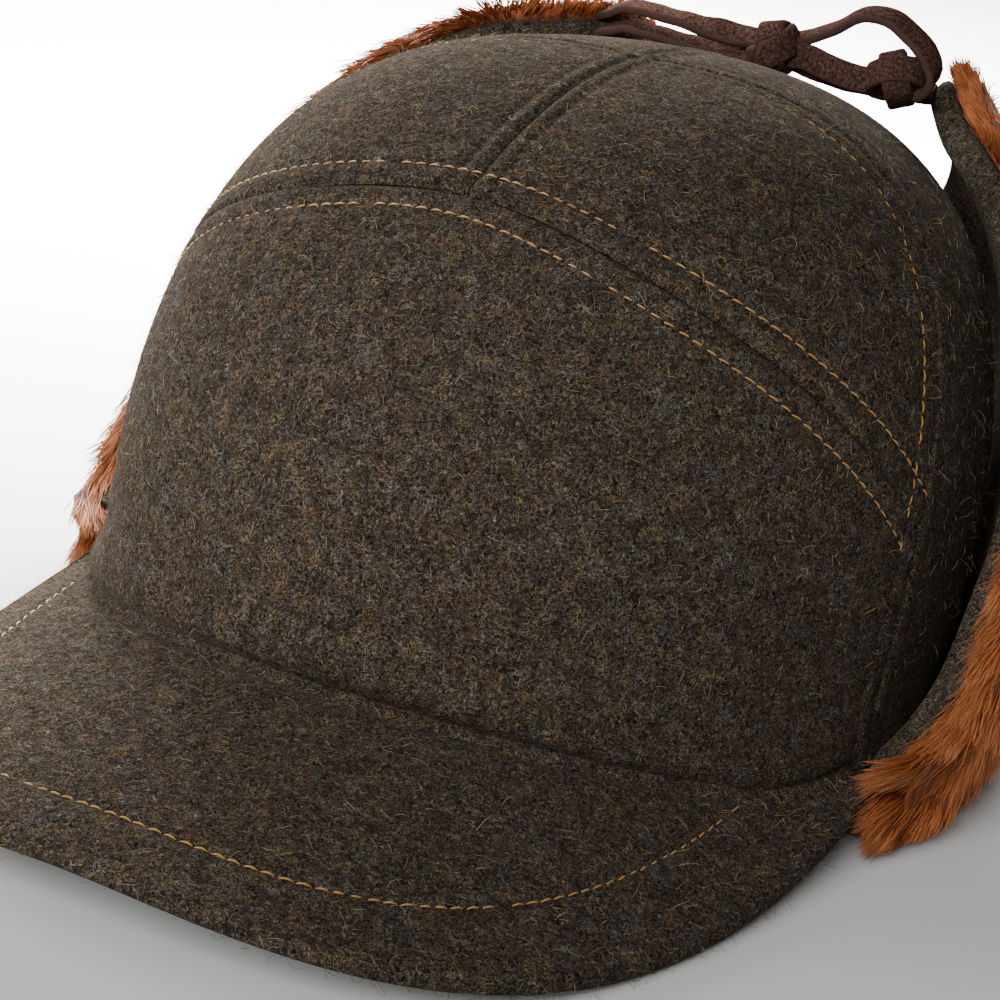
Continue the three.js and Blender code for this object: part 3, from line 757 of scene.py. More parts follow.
# Panels: columns of faces, outline and seams. The right ones are mirrored.
PANELS = {
    "front_panel": (210, front_patch, ("arch", "left", "rim")),
    "top_panel_left": (96, top_patch, ("arch", "left", "centre")),
    "top_panel_right": (96, top_patch, ("arch", "left", "centre")),
    "back_panel_left": (90, back_patch, ("left", "back")),
    "back_panel_right": (90, back_patch, ("left", "back")),
}
PANEL_ROWS = 84


class CAP_OT_crown(bpy.types.Operator):
    """Models the five wool panels of the crown"""

    bl_idname = "cap.crown"
    bl_label = "Crown Panels"

    def execute(self, context):
        wool = wool_melton("Wool melton, crown")
        for node, (columns, patch, seams) in PANELS.items():
            places = panel_places(columns, PANEL_ROWS, patch, seams)
            if node.endswith("right"):
                places = mirror(places, -1)[::-1]
            piece = laid_grid("wool_" + node, places)
            thicken(piece, WOOL_WALL)
            finish_piece(piece, wool, [node])
        return {"FINISHED"}


BRIM_COLUMNS = 200
BRIM_WAVE = 0.25 * MM
# Depths and widths of the dips in the brim's top face, under its stitches and along the crown.
BRIM_STITCH_DIP = (0.55 * MM, 0.9 * MM)
BRIM_RIM_DIP = (1.1 * MM, 1.5 * MM)


class CAP_OT_brim(bpy.types.Operator):
    """Models the curved brim with its rounded edge"""

    bl_idname = "cap.brim"
    bl_label = "Brim"

    def execute(self, context):
        wool = wool_melton("Wool melton, brim")
        across = np.linspace(-1, 1, BRIM_COLUMNS + 1)
        inner = rim_point(across * BRIM_END_TURN, BRIM_INSET)
        edge = brim_edge(across)
        round_off = BRIM_THICKNESS / 2
        outward = unit((edge - inner) * np.array([1, 1, 0]))
        shares = graded(np.linspace(0, 1, 46), 0.7)
        section = []
        row = brim_row()
        for share in shares:
            point = on_brim(mix(inner, edge - outward * round_off, share))
            point[..., 2] += dip(line_distance(point, row), *BRIM_STITCH_DIP)
            point[..., 2] += dip(line_distance(point, SEAMS["rim"]), *BRIM_RIM_DIP)
            point[..., 2] += (
                BRIM_WAVE * np.sin(point[..., 0] / (14 * MM)) * np.sin(point[..., 1] / (11 * MM)))
            section.append(point)
        rim = on_brim(edge - outward * round_off, round_off)
        for angle in np.linspace(80, -80, 11):
            turned = np.radians(angle)
            rise = np.array([0, 0, np.sin(turned) * round_off])
            section.append(rim + outward * round_off * np.cos(turned) + rise)
        for share in shares[::-3]:
            section.append(on_brim(mix(inner, edge - outward * round_off, share), BRIM_THICKNESS))
        section.append(section[0])
        piece = laid_grid("wool_brim", np.stack(section, 1), closed=True)
        finish_piece(piece, wool, ["brim"])
        return {"FINISHED"}


def brim_row():
    """Line of the stitching inside the brim's edge."""
    edge = brim_edge(np.linspace(-1, 1, 900))
    step = np.gradient(edge, axis=0)
    inward = unit(np.stack([-step[:, 1], step[:, 0], 0 * step[:, 0]], -1))
    row = edge + inward * BRIM_ROW
    turn = np.degrees(np.arctan2(row[:, 0], -row[:, 1]))
    rim = crown_point(turn, rim_rise(turn))
    return on_brim(row[np.hypot(row[:, 0], row[:, 1]) > np.hypot(rim[:, 0], rim[:, 1]) + 1 * MM])


# Edge table, side of the cap, stretch of the table and columns of faces.
FLAPS = {
    "ear_flap_left": (LEFT_EDGE, 1, (0, 0.998), 170),
    "ear_flap_right": (RIGHT_EDGE, -1, (0, 0.998), 170),
    "neck_flap": (NECK_EDGE, 1, (0.002, 0.998), 70),
}


def flap_section(table, share, rows=34):
    """Closed section of a flap at shares of its length: up the outer face, over the edge and down."""
    def face(up, outer):
        return flap_point(table, share, up, outer=outer)[0]

    base = table_row(table, share)["base"]
    hem_out = HEM_STAND_OFF + FLAP_WALL
    section = [
        hem_point(base, -WOOL_WALL, REST_LEVEL), hem_point(base, hem_out - HEM_ROUND, REST_LEVEL)]
    for angle in (25, 50, 75):
        turned = np.radians(angle)
        section.append(hem_point(
            base, hem_out - HEM_ROUND * (1 - np.sin(turned)), REST_LEVEL + HEM_ROUND * (1 - np.cos(turned))))
    section.append(hem_point(base, hem_out, -SEAM_GAP))
    ups = 1 - (1 - np.linspace(0.04, 1, rows)) ** 1.5
    section += [face(up, True) for up in ups]
    high, low = section[-1], face(1.0, False)
    middle, half = (high + low) / 2, (high - low) / 2
    lift = unit(low - face(0.97, False)) * np.linalg.norm(half, axis=-1, keepdims=True)
    for angle in (30, 60, 90, 120, 150):
        turned = np.radians(angle)
        section.append(middle + half * np.cos(turned) + 0.6 * lift * np.sin(turned))
    section += [face(up, False) for up in ups[::-1]]
    section += [
        hem_point(base, HEM_STAND_OFF, -SEAM_GAP), hem_point(base, -WOOL_WALL, -SEAM_GAP), section[0]]
    return np.stack(section, 1)


class CAP_OT_flaps(bpy.types.Operator):
    """Models the turned-up ear and neck flaps with their rolled wool edges"""

    bl_idname = "cap.flaps"
    bl_label = "Flaps"

    def execute(self, context):
        wool = wool_melton("Wool melton, flaps")
        for node, (table, side, (start, end), columns) in FLAPS.items():
            places = flap_section(table, np.linspace(start, end, columns + 1))
            crease = 0.35 * MM * np.sin(places[..., 2] / (6 * MM) + places[..., 1] / (9 * MM))
            places = places + unit(places * np.array([1, 1, 0])) * crease[..., None] * 0.5
            piece = laid_grid("wool_" + node, mirror(places, side), closed=True)
            finish_piece(piece, wool, [node])
        return {"FINISHED"}


# The same, then the seed of the hairs.
FURS = {
    "ear_fur_left": (LEFT_EDGE, 1, (0, 0.998), 150, 11),
    "ear_fur_right": (RIGHT_EDGE, -1, (0, 0.998), 150, 23),
    "neck_fur": (NECK_EDGE, 1, (0.003, 0.997), 70, 37),
}
UNDERFUR = 0.62
# An ear flap's hairs are made in two pieces, which meet at this share of its length.
FUR_SPLIT = 0.4
HAIR_RADIUS = (0.1 * MM, 0.18 * MM)
HAIR_CLEAR = 0.5 * MM
HAIRS_IN_LOCK = 20
# Hairs this near a flap's free edge turn towards it, and those near its front corner lean forwards.
EDGE_TURN = 14 * MM
CORNER_REACH = 0.15
LOCK_PULL = 0.5


def underfur_places(table, share, rows=30):
    base = table_row(table, share)["base"]
    hem_out = HEM_STAND_OFF + FLAP_WALL + SEAM_GAP
    low = REST_LEVEL + HEM_ROUND + SEAM_GAP
    depth = pile_depth(table, share, 0.0) * UNDERFUR
    section = [hem_point(base, hem_out + share_out * depth, z) for share_out, z in (
        (0, low), (0.5, REST_LEVEL + FUR_LIFT + 0.6 * MM), (0.9, REST_LEVEL + FUR_LIFT + 2 * MM), (1, 0.0))]
    ups = 1 - (1 - np.linspace(0.04, 1, rows)) ** 1.5
    for up in ups:
        out = SEAM_GAP + pile_depth(table, share, up) * UNDERFUR
        section.append(flap_point(table, share, up, out, outer=True)[0])
    top = section[-1].copy()
    root = flap_point(table, share, 1.0, SEAM_GAP, outer=True)[0]
    crest = (top + root) / 2 + unit(top - section[-2]) * 1.2 * MM
    section += [crest, root]
    section += [flap_point(table, share, up, SEAM_GAP, outer=True)[0] for up in ups[::-3]]
    section += [hem_point(base, hem_out, 0.0), section[0]]
    return np.stack(section, 1)


def hair_roots(table, bounds, count, chance):
    """Shares along a flap and heights up it in metres: an even spread over its face and its hem, then
    a thick row along its free edge."""
    row = int(count * EDGE_HAIR_SHARE)
    share = chance.uniform(*bounds, count * 8)
    height = flap_height(table, share) + HEM_HAIR
    weight = height + CORNER_HAIR * np.exp(-share / 0.1) * (bounds[0] == 0)
    kept = np.flatnonzero(chance.uniform(0, weight.max(), len(share)) < weight)[:count - row]
    face = chance.uniform(0, 1, len(kept)) * height[kept] - HEM_HAIR
    row_share = chance.uniform(*bounds, row)
    edge = flap_height(table, row_share) - chance.uniform(0, EDGE_HAIR_ROW, row)
    return np.concatenate([share[kept], row_share]), np.concatenate([face, edge])


def hair_lines(table, bounds, count, length, seed):
    """Centre lines, radii and tones of the hairs on one flap, gathered into loose locks."""
    chance = np.random.default_rng(seed)
    share, climb = hair_roots(table, bounds, count, chance)
    count = len(share)
    height = flap_height(table, share)
    up = np.clip(climb / height, 0, 1)
    base = table_row(table, share)["base"]
    surface, normal = flap_point(table, share, up, SEAM_GAP, outer=True)
    below, _ = flap_point(table, share, np.maximum(up - 0.03, 0), SEAM_GAP, outer=True)
    above, _ = flap_point(table, share, np.maximum(up, 0.03), SEAM_GAP, outer=True)
    down = unit(below - above)
    hem = (climb < 0)[:, None]
    surface = np.where(hem, hem_point(base, HEM_STAND_OFF + FLAP_WALL, climb), surface)
    normal = np.where(hem, level_normal(base), normal)
    down = np.where(hem, np.array([0, 0, -1]), down)
    # Ways that a hair lies: down the nap and forward over the face, forward and then up over the crest.
    ear = table is not NECK_EDGE
    turn = mix(base, table_row(table, share)["turn"], up)
    forward = unit(crown_point(turn - 1, 5) - crown_point(turn, 5))
    to_edge = (1 - up) * height
    from_edge = np.clip(to_edge / EDGE_TURN, 0, 1)
    crest = np.clip((share - 0.45) / 0.15, 0, 1) if ear else np.ones(count)
    nap = mix(mix(0.5, -0.5, crest), 1.0, from_edge)
    ahead = mix(mix(0.9, 0.1, crest), 0.2 + 0.5 * np.clip(1 - share / 0.5, 0, 1), from_edge)
    if ear:
        ahead = ahead + 0.7 * np.exp(-share / CORNER_REACH)
    sway = np.stack([
        np.sin(surface[:, 2] / (9 * MM) + surface[:, 1] / (13 * MM)),
        np.cos(surface[:, 2] / (11 * MM) - surface[:, 0] / (12 * MM)),
        0.3 * np.sin(surface[:, 1] / (7 * MM)),
    ], -1)
    lie = unit(down * nap[:, None] + forward * ahead[:, None])
    lie = unit(lie + 0.2 * sway + chance.normal(0, 0.15, (count, 3)))
    over_edge = mix(chance.uniform(-0.5, 0.2, count), chance.uniform(-0.2, 0.6, count), crest)
    lean_out = mix(over_edge, chance.uniform(0.4, 0.8, count), from_edge)
    leave = unit(lie + normal * lean_out[:, None])
    bend = unit(lie + normal * chance.uniform(-0.2, 0.15, count)[:, None])
    reach = length * chance.uniform(0.65, 1.2, count) * mix(0.4 + 0.5 * (1 - crest), 1.0, from_edge)
    depth = pile_depth(table, share, up)
    on_edge = to_edge < EDGE_HAIR_ROW
    inside = depth * chance.uniform(0.3, 0.58, count) * np.where(on_edge, chance.uniform(0, 1, count), 1)
    root = surface + normal * inside[:, None]
    root = root - down * (chance.uniform(0, EDGE_HAIR_LIFT, count) * on_edge)[:, None]
    room = root[:, 2] - REST_LEVEL - FUR_LIFT
    fall = np.maximum(-(leave[:, 2] + bend[:, 2]) / 2, 0.05)
    reach = np.minimum(reach, np.maximum(room / fall, 5 * MM))
    steps = np.linspace(0, 1, 4)[None, :, None]
    lines = root[:, None, :] + reach[:, None, None] * (
        leave[:, None, :] * steps * (1 - steps / 2) + bend[:, None, :] * steps**2 / 2)
    # Each hair leans towards the tip of the nearest lock.
    locks = chance.choice(count, count // HAIRS_IN_LOCK, replace=False)
    nearest = np.argmin(square_distances(root, root[locks]), 1)
    lock = locks[nearest]
    pull = (lines[lock, -1] - lines[:, -1]) * LOCK_PULL
    lines = lines + pull[:, None, :] * steps**1.5
    lines[..., 2] = np.maximum(lines[..., 2], REST_LEVEL + HAIR_CLEAR)
    radii = chance.uniform(*HAIR_RADIUS, count)[:, None] * np.array([1.0, 0.95, 0.75])[None, :]
    tones = 0.5 + chance.normal(0, 0.2, len(locks))[nearest] + chance.normal(0, 0.12, count)
    return lines, radii, np.clip(tones, 0, 1)


class CAP_OT_fur(bpy.types.Operator):
    """Models the rabbit fur: dense underfur on each flap and longer hairs over it"""

    bl_idname = "cap.fur"
    bl_label = "Fur"

    def execute(self, context):
        sizes = context.scene.cap_sizes
        hair, underfur = rabbit_hair("Rabbit hair"), rabbit_underfur("Rabbit underfur")
        for node, (table, side, (start, end), columns, seed) in FURS.items():
            share = np.linspace(start, end, columns + 1)
            body = laid_grid("under_" + node, mirror(underfur_places(table, share), side), closed=True)
            finish_piece(body, underfur, [node], smooth_angle=80)
            if node == "neck_fur":
                parts = [("", start, end, sizes.neck_hairs)]
            else:
                parts = [
                    ("_front", start, FUR_SPLIT, sizes.ear_hairs), ("_back", FUR_SPLIT, end, sizes.ear_hairs)]
            for suffix, low, high, count in parts:
                lines, radii, tones = hair_lines(table, (low, high), count, sizes.hair_length, seed)
                piece = strand_mesh("hair_" + node + suffix, mirror(lines, side), radii, tones)
                finish_piece(piece, hair)
        return {"FINISHED"}


# Laces: routes in metres, where the CAD has them. A lace runs on through a knot.
UPPER_ROUTE = np.array([
    (-37.3, 75.9, 115.9), (-28, 69.8, 119.8), (-20, 67, 120.2), (-11.5, 66, 119.8), (-4, 66, 119.2),
    (2.4, 66, 119), (9.8, 66.6, 119.2), (16.4, 67.6, 121.6), (21.5, 67.8, 124), (25.6, 67.8, 127),
    (30, 67.6, 129.1), (34.6, 67.4, 128.9), (39.4, 67, 126.8), (43.6, 66.4, 123.8), (46.2, 65.8, 120.4),
    (46, 65, 117), (43.4, 64.6, 115), (39, 64.6, 117),
]) * MM
LOWER_ROUTE = np.array([
    (-35.7, 73.4, 112.6), (-27, 68.8, 115.5), (-19, 66.6, 115.6), (-10.8, 66, 115.2), (-4, 66, 114.9),
    (2.4, 66, 114.7), (9.8, 65.6, 116.4), (17, 64.6, 117.6), (22, 64.4, 116.6), (27.6, 64.4, 115.6),
    (33, 64.6, 115.4), (39, 64.6, 117),
]) * MM
LEFT_ROUTE = np.array([
    (44.6, 74.6, 113.6), (38, 73.6, 113), (31, 73.2, 112.6), (24, 71.8, 113), (18, 69.6, 114.4),
    (9.8, 67, 117),
]) * MM
BIG_KNOT = np.array([9.8, 66, 118]) * MM
END_KNOT = np.array([39, 64.6, 117]) * MM
KNOT_CORE = (5 * MM, 4.6 * MM, 4.2 * MM)
KNOT_LACE_THICKNESS = 2.4 * MM

# How far each lace's width is turned up from level, in degrees, at its route's points.
UPPER_LEAN = (12, 12, 12, 12, 14, 20, 50, 35, 25, 20, 20, 20, 20, 25, 30, 35, 40, 50)
LOWER_LEAN = (12, 12, 12, 12, 14, 20, 60, 75, 80, 80, 75, 70)
LEFT_LEAN = (30, 20, 20, 20, 25, 40)


def lean_ways(leans, count):
    """Ways that a lace's width points at each of its points."""
    lean = np.radians(np.interp(np.linspace(0, 1, count), np.linspace(0, 1, len(leans)), leans))
    return np.stack([0 * lean, np.cos(lean), np.sin(lean)], -1)


def smooth_route(route, step):
    """Points along a smooth curve through the route, at an even step."""
    padded = np.concatenate([[2 * route[0] - route[1]], route, [2 * route[-1] - route[-2]]])
    t = np.linspace(0, 1, 24, endpoint=False)[:, None]
    spans = []
    for i in range(len(route) - 1):
        spans.append(smooth_between(*padded[i:i + 4], t))
    dense = np.concatenate([*spans, route[-1:]])
    run = run_along(dense)
    marks = np.linspace(0, run[-1], max(int(round(run[-1] / step)), 4) + 1)
    return read_along(marks, run, dense), run[-1]


def ribbon(name, path, width_way, width, thickness, loop=False):
    """A flat lace along a path. width_way is the way its width points, at each point or for all."""
    tangent = unit(np.roll(path, -1, 0) - np.roll(path, 1, 0) if loop else np.gradient(path, axis=0))
    wide = np.broadcast_to(width_way, path.shape)
    wide = unit(wide - tangent * (wide * tangent).sum(1, keepdims=True))
    thin = np.cross(tangent, wide)
    corner = thickness * 0.32
    section = []
    for sign_w, sign_t, first in ((1, 1, 0), (-1, 1, 90), (-1, -1, 180), (1, -1, 270)):
        for angle in (first, first + 45, first + 90):
            section.append((
                sign_w * (width / 2 - corner) + corner * math.cos(math.radians(angle)),
                sign_t * (thickness / 2 - corner) + corner * math.sin(math.radians(angle)),
            ))
    section = np.array(section)
    sides = len(section)
    rings = (
        path[:, None, :] + wide[:, None, :] * section[None, :, :1] + thin[:, None, :] * section[None, :, 1:])
    crinkle = 0.12 * MM * np.sin(np.arange(len(path)) * 1.1)[:, None, None]
    rings = rings + thin[:, None, :] * crinkle
    count = len(path)
    faces = []
    for i in range(count if loop else count - 1):
        low, high = i * sides, ((i + 1) % count) * sides
        for k in range(sides):
            turned = (k + 1) % sides
            faces.append((low + k, low + turned, high + turned, high + k))
    if not loop:
        faces.append(tuple(range(sides))[::-1])
        faces.append(tuple(range((count - 1) * sides, count * sides)))
    cut = np.tile((np.abs(section[:, 0]) > width / 2 - corner * 0.8).astype(float), count)
    piece = mesh_piece(name, rings.reshape(-1, 3) + SHIFT, faces, {"cut": cut})
    seal(piece)
    return piece


def knot_wraps(name, place, wraps, width, thickness):
    """A tied knot: wraps of the lace drawn tight round each other, joined as one piece."""
    made = []
    for index, (axis, along, radii) in enumerate(wraps):
        axis, along = unit(np.array(axis, float)), np.array(along, float)
        first = unit(along - axis * (along @ axis))
        second = np.cross(axis, first)
        angles = np.linspace(0, 2 * np.pi, 40, endpoint=False)[:, None]
        path = place + (first * np.cos(angles) * radii[0] + second * np.sin(angles) * radii[1]) * MM
        made.append(ribbon(f"{name}_{index}", path, axis, width, thickness, loop=True))
    bpy.ops.object.select_all(action="DESELECT")
    bpy.ops.mesh.primitive_uv_sphere_add(
        segments=24, ring_count=14, radius=1, location=Vector(place + SHIFT))
    core = bpy.context.object
    core.scale = KNOT_CORE
    bpy.ops.object.transform_apply(location=True, rotation=True, scale=True)
    for piece in made:
        piece.select_set(True)
    core.select_set(True)
    bpy.context.view_layer.objects.active = core
    bpy.ops.object.join()
    core.name = core.data.name = name
    return core


class CAP_OT_laces(bpy.types.Operator):
    """Models the suede laces and the two knots that hold the flaps up"""

    bl_idname = "cap.laces"
    bl_label = "Laces"

    def execute(self, context):
        sizes = context.scene.cap_sizes
        suede = suede_split("Suede lace")
        width, thickness = sizes.lace_width, sizes.lace_thickness
        big = knot_wraps("suede_big_knot", BIG_KNOT, [
            ((1, 0.1, 0.25), (0, 0, 1), (4.8, 5.0)),
            ((0.55, 0.2, -0.8), (0.3, 1, 0.2), (5.0, 4.9)),
        ], 6.2 * MM, KNOT_LACE_THICKNESS)
        end = knot_wraps("suede_end_knot", END_KNOT, [
            ((0.9, 0.3, 0.35), (0, 0, 1), (5.0, 4.8)),
            ((-0.3, 0.5, 0.85), (1, 0, 0.3), (5.6, 4.9)),
        ], 6.0 * MM, KNOT_LACE_THICKNESS)
        finish_piece(big, suede, ["big_knot"])
        finish_piece(end, suede, ["end_knot"])
        laces = [
            ("suede_lace_upper", UPPER_ROUTE, UPPER_LEAN, ["lace_upper", "lace_loop"], [big, end]),
            ("suede_lace_lower", LOWER_ROUTE, LOWER_LEAN, ["lace_lower", "lace_strap"], []),
            ("suede_lace_left", LEFT_ROUTE, LEFT_LEAN, ["lace_left"], []),
        ]
        for name, route, leans, nodes, knots in laces:
            path, length = smooth_route(route, 1.5 * MM)
            piece = ribbon(name, path, lean_ways(leans, len(path)), width, thickness)
            finish_piece(piece, suede, nodes)
        return {"FINISHED"}


def on_crown(points):
    """Turn and rise of the crown's nearest points, by a few steps of least squares."""
    rise = rise_at(np.clip(points[:, 2] / CROWN_HEIGHT, 0.0005, 0.9999))
    axis = APEX_SET_BACK * points[:, 2] / CROWN_HEIGHT
    turn = np.degrees(np.arctan2(points[:, 0], -(points[:, 1] - axis)))
    for _ in range(6):
        here = crown_point(turn, rise)
        step = 0.05
        by_turn = (crown_point(turn + step, rise) - here) / step
        by_rise = (crown_point(turn, rise + step) - here) / step
        gap = points - here
        a, b, c = (by_turn**2).sum(1), (by_turn * by_rise).sum(1), (by_rise**2).sum(1)
        p, q = (by_turn * gap).sum(1), (by_rise * gap).sum(1)
        scale = np.maximum(a * c - b * b, 1e-18)
        turn = turn + np.clip((c * p - b * q) / scale, -5, 5)
        rise = np.clip(rise + np.clip((a * q - b * p) / scale, -5, 5), 0.01, 89.9)
    return turn, rise


def beside(line, offset):
    """A seam's line moved across the crown by an offset, and laid on its surface."""
    turn, rise = on_crown(line)
    normal = crown_normal(turn, rise)
    tangent = unit(np.gradient(line, axis=0))
    moved = line + np.cross(normal, tangent) * offset
    turn, rise = on_crown(moved)
    return crown_point(turn, rise), crown_normal(turn, rise)


# Stitches: half length as a share of the pitch, and how deep their ends are pulled into the wool.
STITCH_SHARE = 0.42
STITCH_SINK = 0.35 * MM
STITCH_SEED = 5
# Rows on the crown: seam, distance from it, share of stitches hidden in the nap, points left off each
# end of the seam's line, and lift off the cloth.
CROWN_ROWS = {
    "stitches_arch_lower": ("arch", -ARCH_ROW, 0.02, 2, -0.1 * MM),
    "stitches_arch_upper": ("arch", ARCH_ROW, 0.04, 2, -0.1 * MM),
    "stitches_side_left": ("left", SIDE_ROW, 0.3, 8, -0.12 * MM),
    "stitches_side_right": ("right", -SIDE_ROW, 0.3, 8, -0.12 * MM),
}
BRIM_ROW_HIDDEN, BRIM_ROW_LIFT = 0.03, -0.15 * MM


def stitch_row(name, line, normal, sizes, material, lift, skip):
    """A row of topstitches along a line: one bent thread modelled once and copied along it."""
    chance = np.random.default_rng(STITCH_SEED)
    run = run_along(line)
    count = int(run[-1] / sizes.stitch_pitch)
    middles = (np.arange(count) + 0.5) * sizes.stitch_pitch + chance.normal(0, 0.12 * MM, count)
    middles = middles[chance.uniform(0, 1, count) >= skip]
    place = read_along(middles, run, line)
    up = unit(read_along(middles, run, normal))
    ahead = unit(read_along(middles, run, np.gradient(line, run, axis=0)))
    aside = np.cross(up, ahead)
    ahead = unit(ahead + aside * chance.normal(0.06, 0.05, len(ahead))[:, None])
    bpy.ops.object.select_all(action="DESELECT")
    bpy.ops.mesh.primitive_uv_sphere_add(segments=6, ring_count=6, radius=1)
    thread = bpy.context.object
    shape = np.array([vertex.co for vertex in thread.data.vertices])
    faces = [tuple(polygon.vertices) for polygon in thread.data.polygons]
    bpy.data.objects.remove(thread)
    along = shape[:, 2] * (sizes.stitch_pitch * STITCH_SHARE)
    points = (
        place[:, None, :]
        + ahead[:, None, :] * along[None, :, None]
        + aside[:, None, :] * (shape[:, 0] * sizes.thread_radius)[None, :, None]
        + up[:, None, :] * (
            shape[:, 1] * sizes.thread_radius + lift - STITCH_SINK * shape[:, 2] ** 2)[None, :, None]
    )
    joined = repeated(faces, len(place), len(shape))
    piece = mesh_piece(name, points.reshape(-1, 3) + SHIFT, joined)
    return finish_piece(piece, material)


class CAP_OT_stitching(bpy.types.Operator):
    """Models the rows of topstitching on the crown and the brim"""

    bl_idname = "cap.stitching"
    bl_label = "Topstitching"

    def execute(self, context):
        sizes = context.scene.cap_sizes
        thread = polyester_thread("Polyester thread")
        for name, (seam, offset, skip, cut, lift) in CROWN_ROWS.items():
            line, normal = beside(SEAMS[seam][cut:-cut], offset)
            stitch_row(name, line, normal, sizes, thread, lift, skip)
        row = brim_row()
        even = np.ones(len(row))
        slope = np.stack([
            2 * BRIM_SIDE_DROP * row[:, 0] / BRIM_HALF_WIDTH**2, -BRIM_FALL * even, even], 1)
        stitch_row(
            "stitches_brim", row, unit(slope), sizes, thread, BRIM_ROW_LIFT, BRIM_ROW_HIDDEN)
        return {"FINISHED"}


# Loose fibres: lengths, radii, rise off the cloth as a share of length, turn in radians, height above
# the floor, and distance from a seam's groove.
FIBRE_LENGTH = (1.2 * MM, 3.4 * MM)
FIBRE_RADIUS = (0.025 * MM, 0.05 * MM)
FIBRE_RISE = 0.32
FIBRE_CURL = 0.9
FIBRE_CLEAR = 0.1 * MM
SEAM_CLEAR = 1.5 * MM
FIBRES_ON_CROWN = 0.75
FIBRE_SEED = 3


def fibre_lines(points, normal, chance):
    """Short curly wool fibres lying on a surface."""
    count = len(points)
    aside = unit(np.cross(normal, chance.normal(0, 1, (count, 3))))
    over = np.cross(normal, aside)
    length = chance.uniform(*FIBRE_LENGTH, count)
    curl = chance.normal(0, FIBRE_CURL, count)
    rise = np.abs(chance.normal(0, FIBRE_RISE, count))
    steps = np.linspace(0, 1, 4)
    angle = curl[:, None] * steps[None, :]
    lines = np.repeat(points[:, None, :], len(steps), 1)
    for way, share in (
        (aside, steps[None, :] * np.cos(angle)),
        (over, steps[None, :] * np.sin(angle)),
        (normal, rise[:, None] * np.sin(np.pi * 0.6 * steps)[None, :]),
    ):
        lines = lines + way[:, None, :] * (share * length[:, None])[..., None]
    lines[..., 2] = np.maximum(lines[..., 2], REST_LEVEL + FIBRE_CLEAR)
    return lines


class CAP_OT_nap(bpy.types.Operator):
    """Scatters the loose fibres that stand off the wool"""

    bl_idname = "cap.nap"
    bl_label = "Loose Fibres"

    def execute(self, context):
        count = context.scene.cap_sizes.loose_fibres
        fibre = stray_wool("Loose wool fibre")
        chance = np.random.default_rng(FIBRE_SEED)
        crown_count = int(count * FIBRES_ON_CROWN)
        turn = chance.uniform(-110, 110, crown_count)
        rise = rise_at(chance.uniform(0.08, 1, crown_count) ** 0.75)
        points = crown_point(turn, rise)
        to_seams = [line_distance(points, SEAMS[seam]) for seam in ("arch", "left", "centre")]
        clear = np.min(to_seams, axis=0) > SEAM_CLEAR
        points, normal = points[clear], crown_normal(turn, rise)[clear]
        self.scatter("fibres_crown", points, normal, chance, fibre, "crown_wool")
        brim_count = count - crown_count
        across = chance.uniform(-1, 1, brim_count)
        inner = rim_point(across * BRIM_END_TURN, 0)
        share = np.minimum(chance.uniform(0, 1.25, brim_count), 1.0)
        points = on_brim(mix(inner, brim_edge(across), share[:, None]))
        outward = unit((brim_edge(across) - inner) * np.array([1, 1, 0]))
        at_edge = share >= 1
        points[at_edge, 2] -= chance.uniform(0, BRIM_THICKNESS, at_edge.sum())
        normal = np.where(at_edge[:, None], outward, np.array([0, 0.15, 1.0]))
        self.scatter("fibres_brim", points, unit(normal), chance, fibre, "brim_wool")
        return {"FINISHED"}

    def scatter(self, name, points, normal, chance, fibre, slot):
        lines = fibre_lines(points, normal, chance)
        count = len(lines)
        radii = chance.uniform(*FIBRE_RADIUS, count)[:, None] * np.array([0.8, 1.0, 0.8])[None, :]
        piece = strand_mesh(name, lines, radii, chance.uniform(0, 1, count))
        finish_piece(piece, fibre)


# Stage.

VIEW_AZIMUTH, VIEW_ELEVATION, VIEW_ROLL = 26.3, 18.99, 7.38
VIEW_DISTANCE = 0.6
VIEW_TARGET_ACROSS, VIEW_TARGET_UP = -9.24 * MM, 23.34 * MM
LENS_MM = 100.78
# Soft boxes: name, place, aim, width and height in metres, and spread in degrees.
SOFT_BOXES = (
    ("back", (-0.8, 1.18, 0.78), (-0.3, 0.45, 0), (0.8, 0.5), 90),
    ("paper", (-0.16, 0.36, 0.5), (-0.55, 0.72, 0), (0.5, 0.3), 180),
    ("key", (-0.95, -0.35, 0.4), (0, 0, 0.07), (0.6, 0.5), 100),
    ("fill", (0.02, -1.25, 0.75), (0, 0, 0.05), (1.2, 0.6), 100),
)


def view_axes():
    azimuth, elevation, roll = (math.radians(a) for a in (VIEW_AZIMUTH, VIEW_ELEVATION, VIEW_ROLL))
    back = np.array([
        math.sin(azimuth) * math.cos(elevation), -math.cos(azimuth) * math.cos(elevation),
        math.sin(elevation)])
    right = np.array([math.cos(azimuth), math.sin(azimuth), 0])
    up = np.cross(back, right)
    target = right * VIEW_TARGET_ACROSS + up * VIEW_TARGET_UP
    turned_right = math.cos(roll) * right + math.sin(roll) * up
    turned_up = -math.sin(roll) * right + math.cos(roll) * up
    return turned_right, turned_up, back, target


def soft_light(name, place, aim, size, power, spread):
    """A soft box of a width and a height, its light narrowed to a spread in degrees."""
    bpy.ops.object.light_add(type="AREA", location=place)
    light = bpy.context.object
    light.name = name
    light.data.shape = "RECTANGLE"
    light.data.size, light.data.size_y = size
    light.data.energy = power
    light.data.spread = math.radians(spread)
    light.rotation_euler = (Vector(aim) - Vector(place)).to_track_quat("-Z", "Y").to_euler()


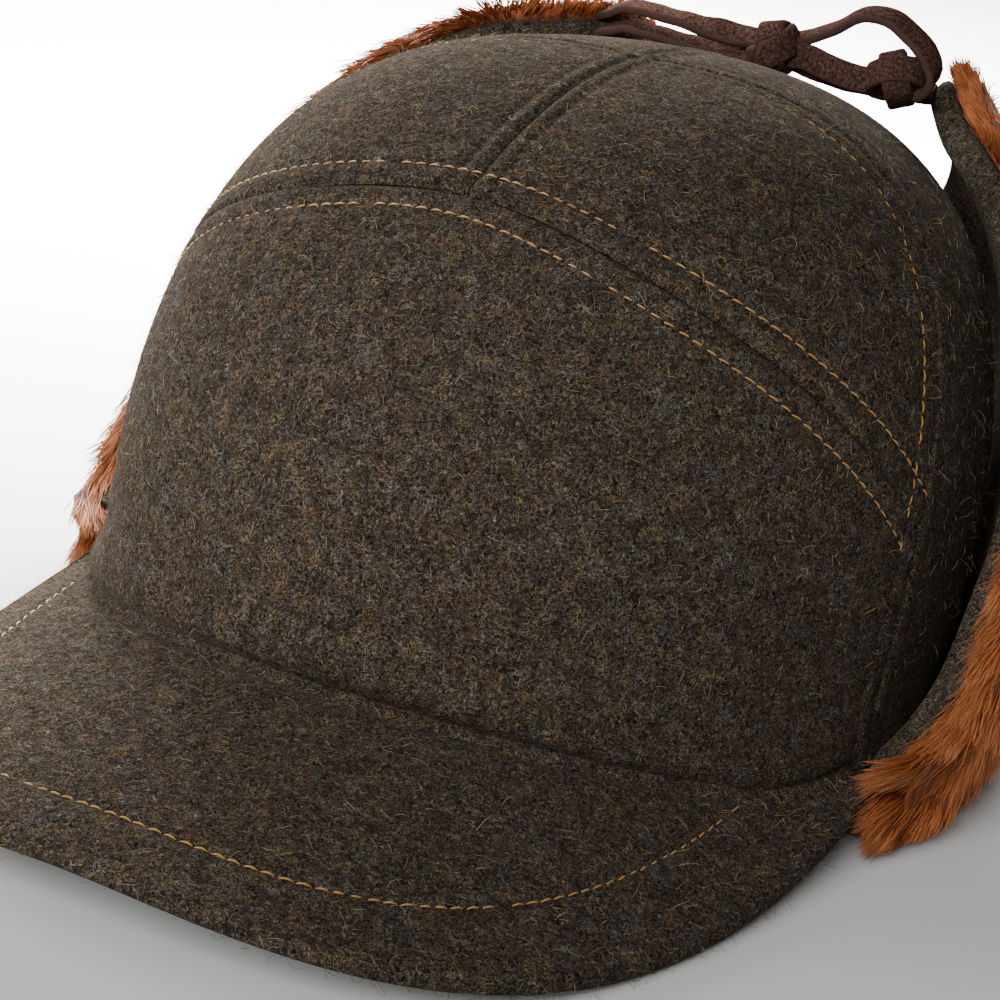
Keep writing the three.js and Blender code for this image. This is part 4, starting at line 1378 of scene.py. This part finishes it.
class CAP_OT_stage(bpy.types.Operator):
    """Sets the paper floor, the lights and the camera"""

    bl_idname = "cap.stage"
    bl_label = "Stage"

    def execute(self, context):
        stage = context.scene.cap_stage
        paper = plain_paper("Seamless paper", stage.floor_colour)
        bpy.ops.object.select_all(action="DESELECT")
        bpy.ops.mesh.primitive_plane_add(size=8, location=(0, 0, 0))
        floor = context.object
        floor.name = "floor"
        floor.data.materials.append(paper)
        for name, place, aim, size, spread in SOFT_BOXES:
            soft_light(name + "_light", place, aim, size, getattr(stage, name + "_power"), spread)
        world = bpy.data.worlds.new("White surroundings")
        context.scene.world = world
        world.use_nodes = True
        sky = world.node_tree.nodes["Background"]
        sky.inputs["Color"].default_value = (1, 1, 1, 1)
        sky.inputs["Strength"].default_value = stage.sky_strength
        right, up, back, target = view_axes()
        place = target + back * VIEW_DISTANCE + SHIFT
        bpy.ops.object.camera_add(location=place)
        camera = context.object
        camera.name = "camera"
        camera.data.lens = LENS_MM
        camera.data.sensor_width = 36
        camera.data.clip_start, camera.data.clip_end = 0.05, 20
        axes = Matrix((right, up, back)).transposed()
        camera.matrix_world = Matrix.Translation(Vector(place)) @ axes.to_4x4()
        context.scene.camera = camera
        return {"FINISHED"}


class CAP_PT_panel(bpy.types.Panel):
    """Lists the cap's pieces in the order they are made"""

    bl_label = "Earflap Cap"
    bl_idname = "CAP_PT_panel"
    bl_space_type = "VIEW_3D"
    bl_region_type = "UI"
    bl_category = "Cap"

    def draw(self, context):
        column = self.layout.column()
        for operator in OPERATORS:
            column.operator(operator.bl_idname)
        for group in (context.scene.cap_sizes, context.scene.cap_stage):
            for key in group.__annotations__:
                column.prop(group, key)


OPERATORS = [CAP_OT_crown, CAP_OT_brim, CAP_OT_flaps, CAP_OT_fur, CAP_OT_laces, CAP_OT_stitching, CAP_OT_nap,
             CAP_OT_stage]
CLASSES = [CapSizes, CapStage, *OPERATORS, CAP_PT_panel]


def register():
    for item in CLASSES:
        bpy.utils.register_class(item)
    bpy.types.Scene.cap_sizes = bpy.props.PointerProperty(type=CapSizes)
    bpy.types.Scene.cap_stage = bpy.props.PointerProperty(type=CapStage)


def unregister():
    del bpy.types.Scene.cap_stage
    del bpy.types.Scene.cap_sizes
    for item in reversed(CLASSES):
        bpy.utils.unregister_class(item)


def main():
    register()
    bpy.ops.cap.crown()
    bpy.ops.cap.brim()
    bpy.ops.cap.flaps()
    bpy.ops.cap.fur()
    bpy.ops.cap.laces()
    bpy.ops.cap.stitching()
    bpy.ops.cap.nap()
    bpy.ops.cap.stage()


if __name__ == "__main__":
    main()
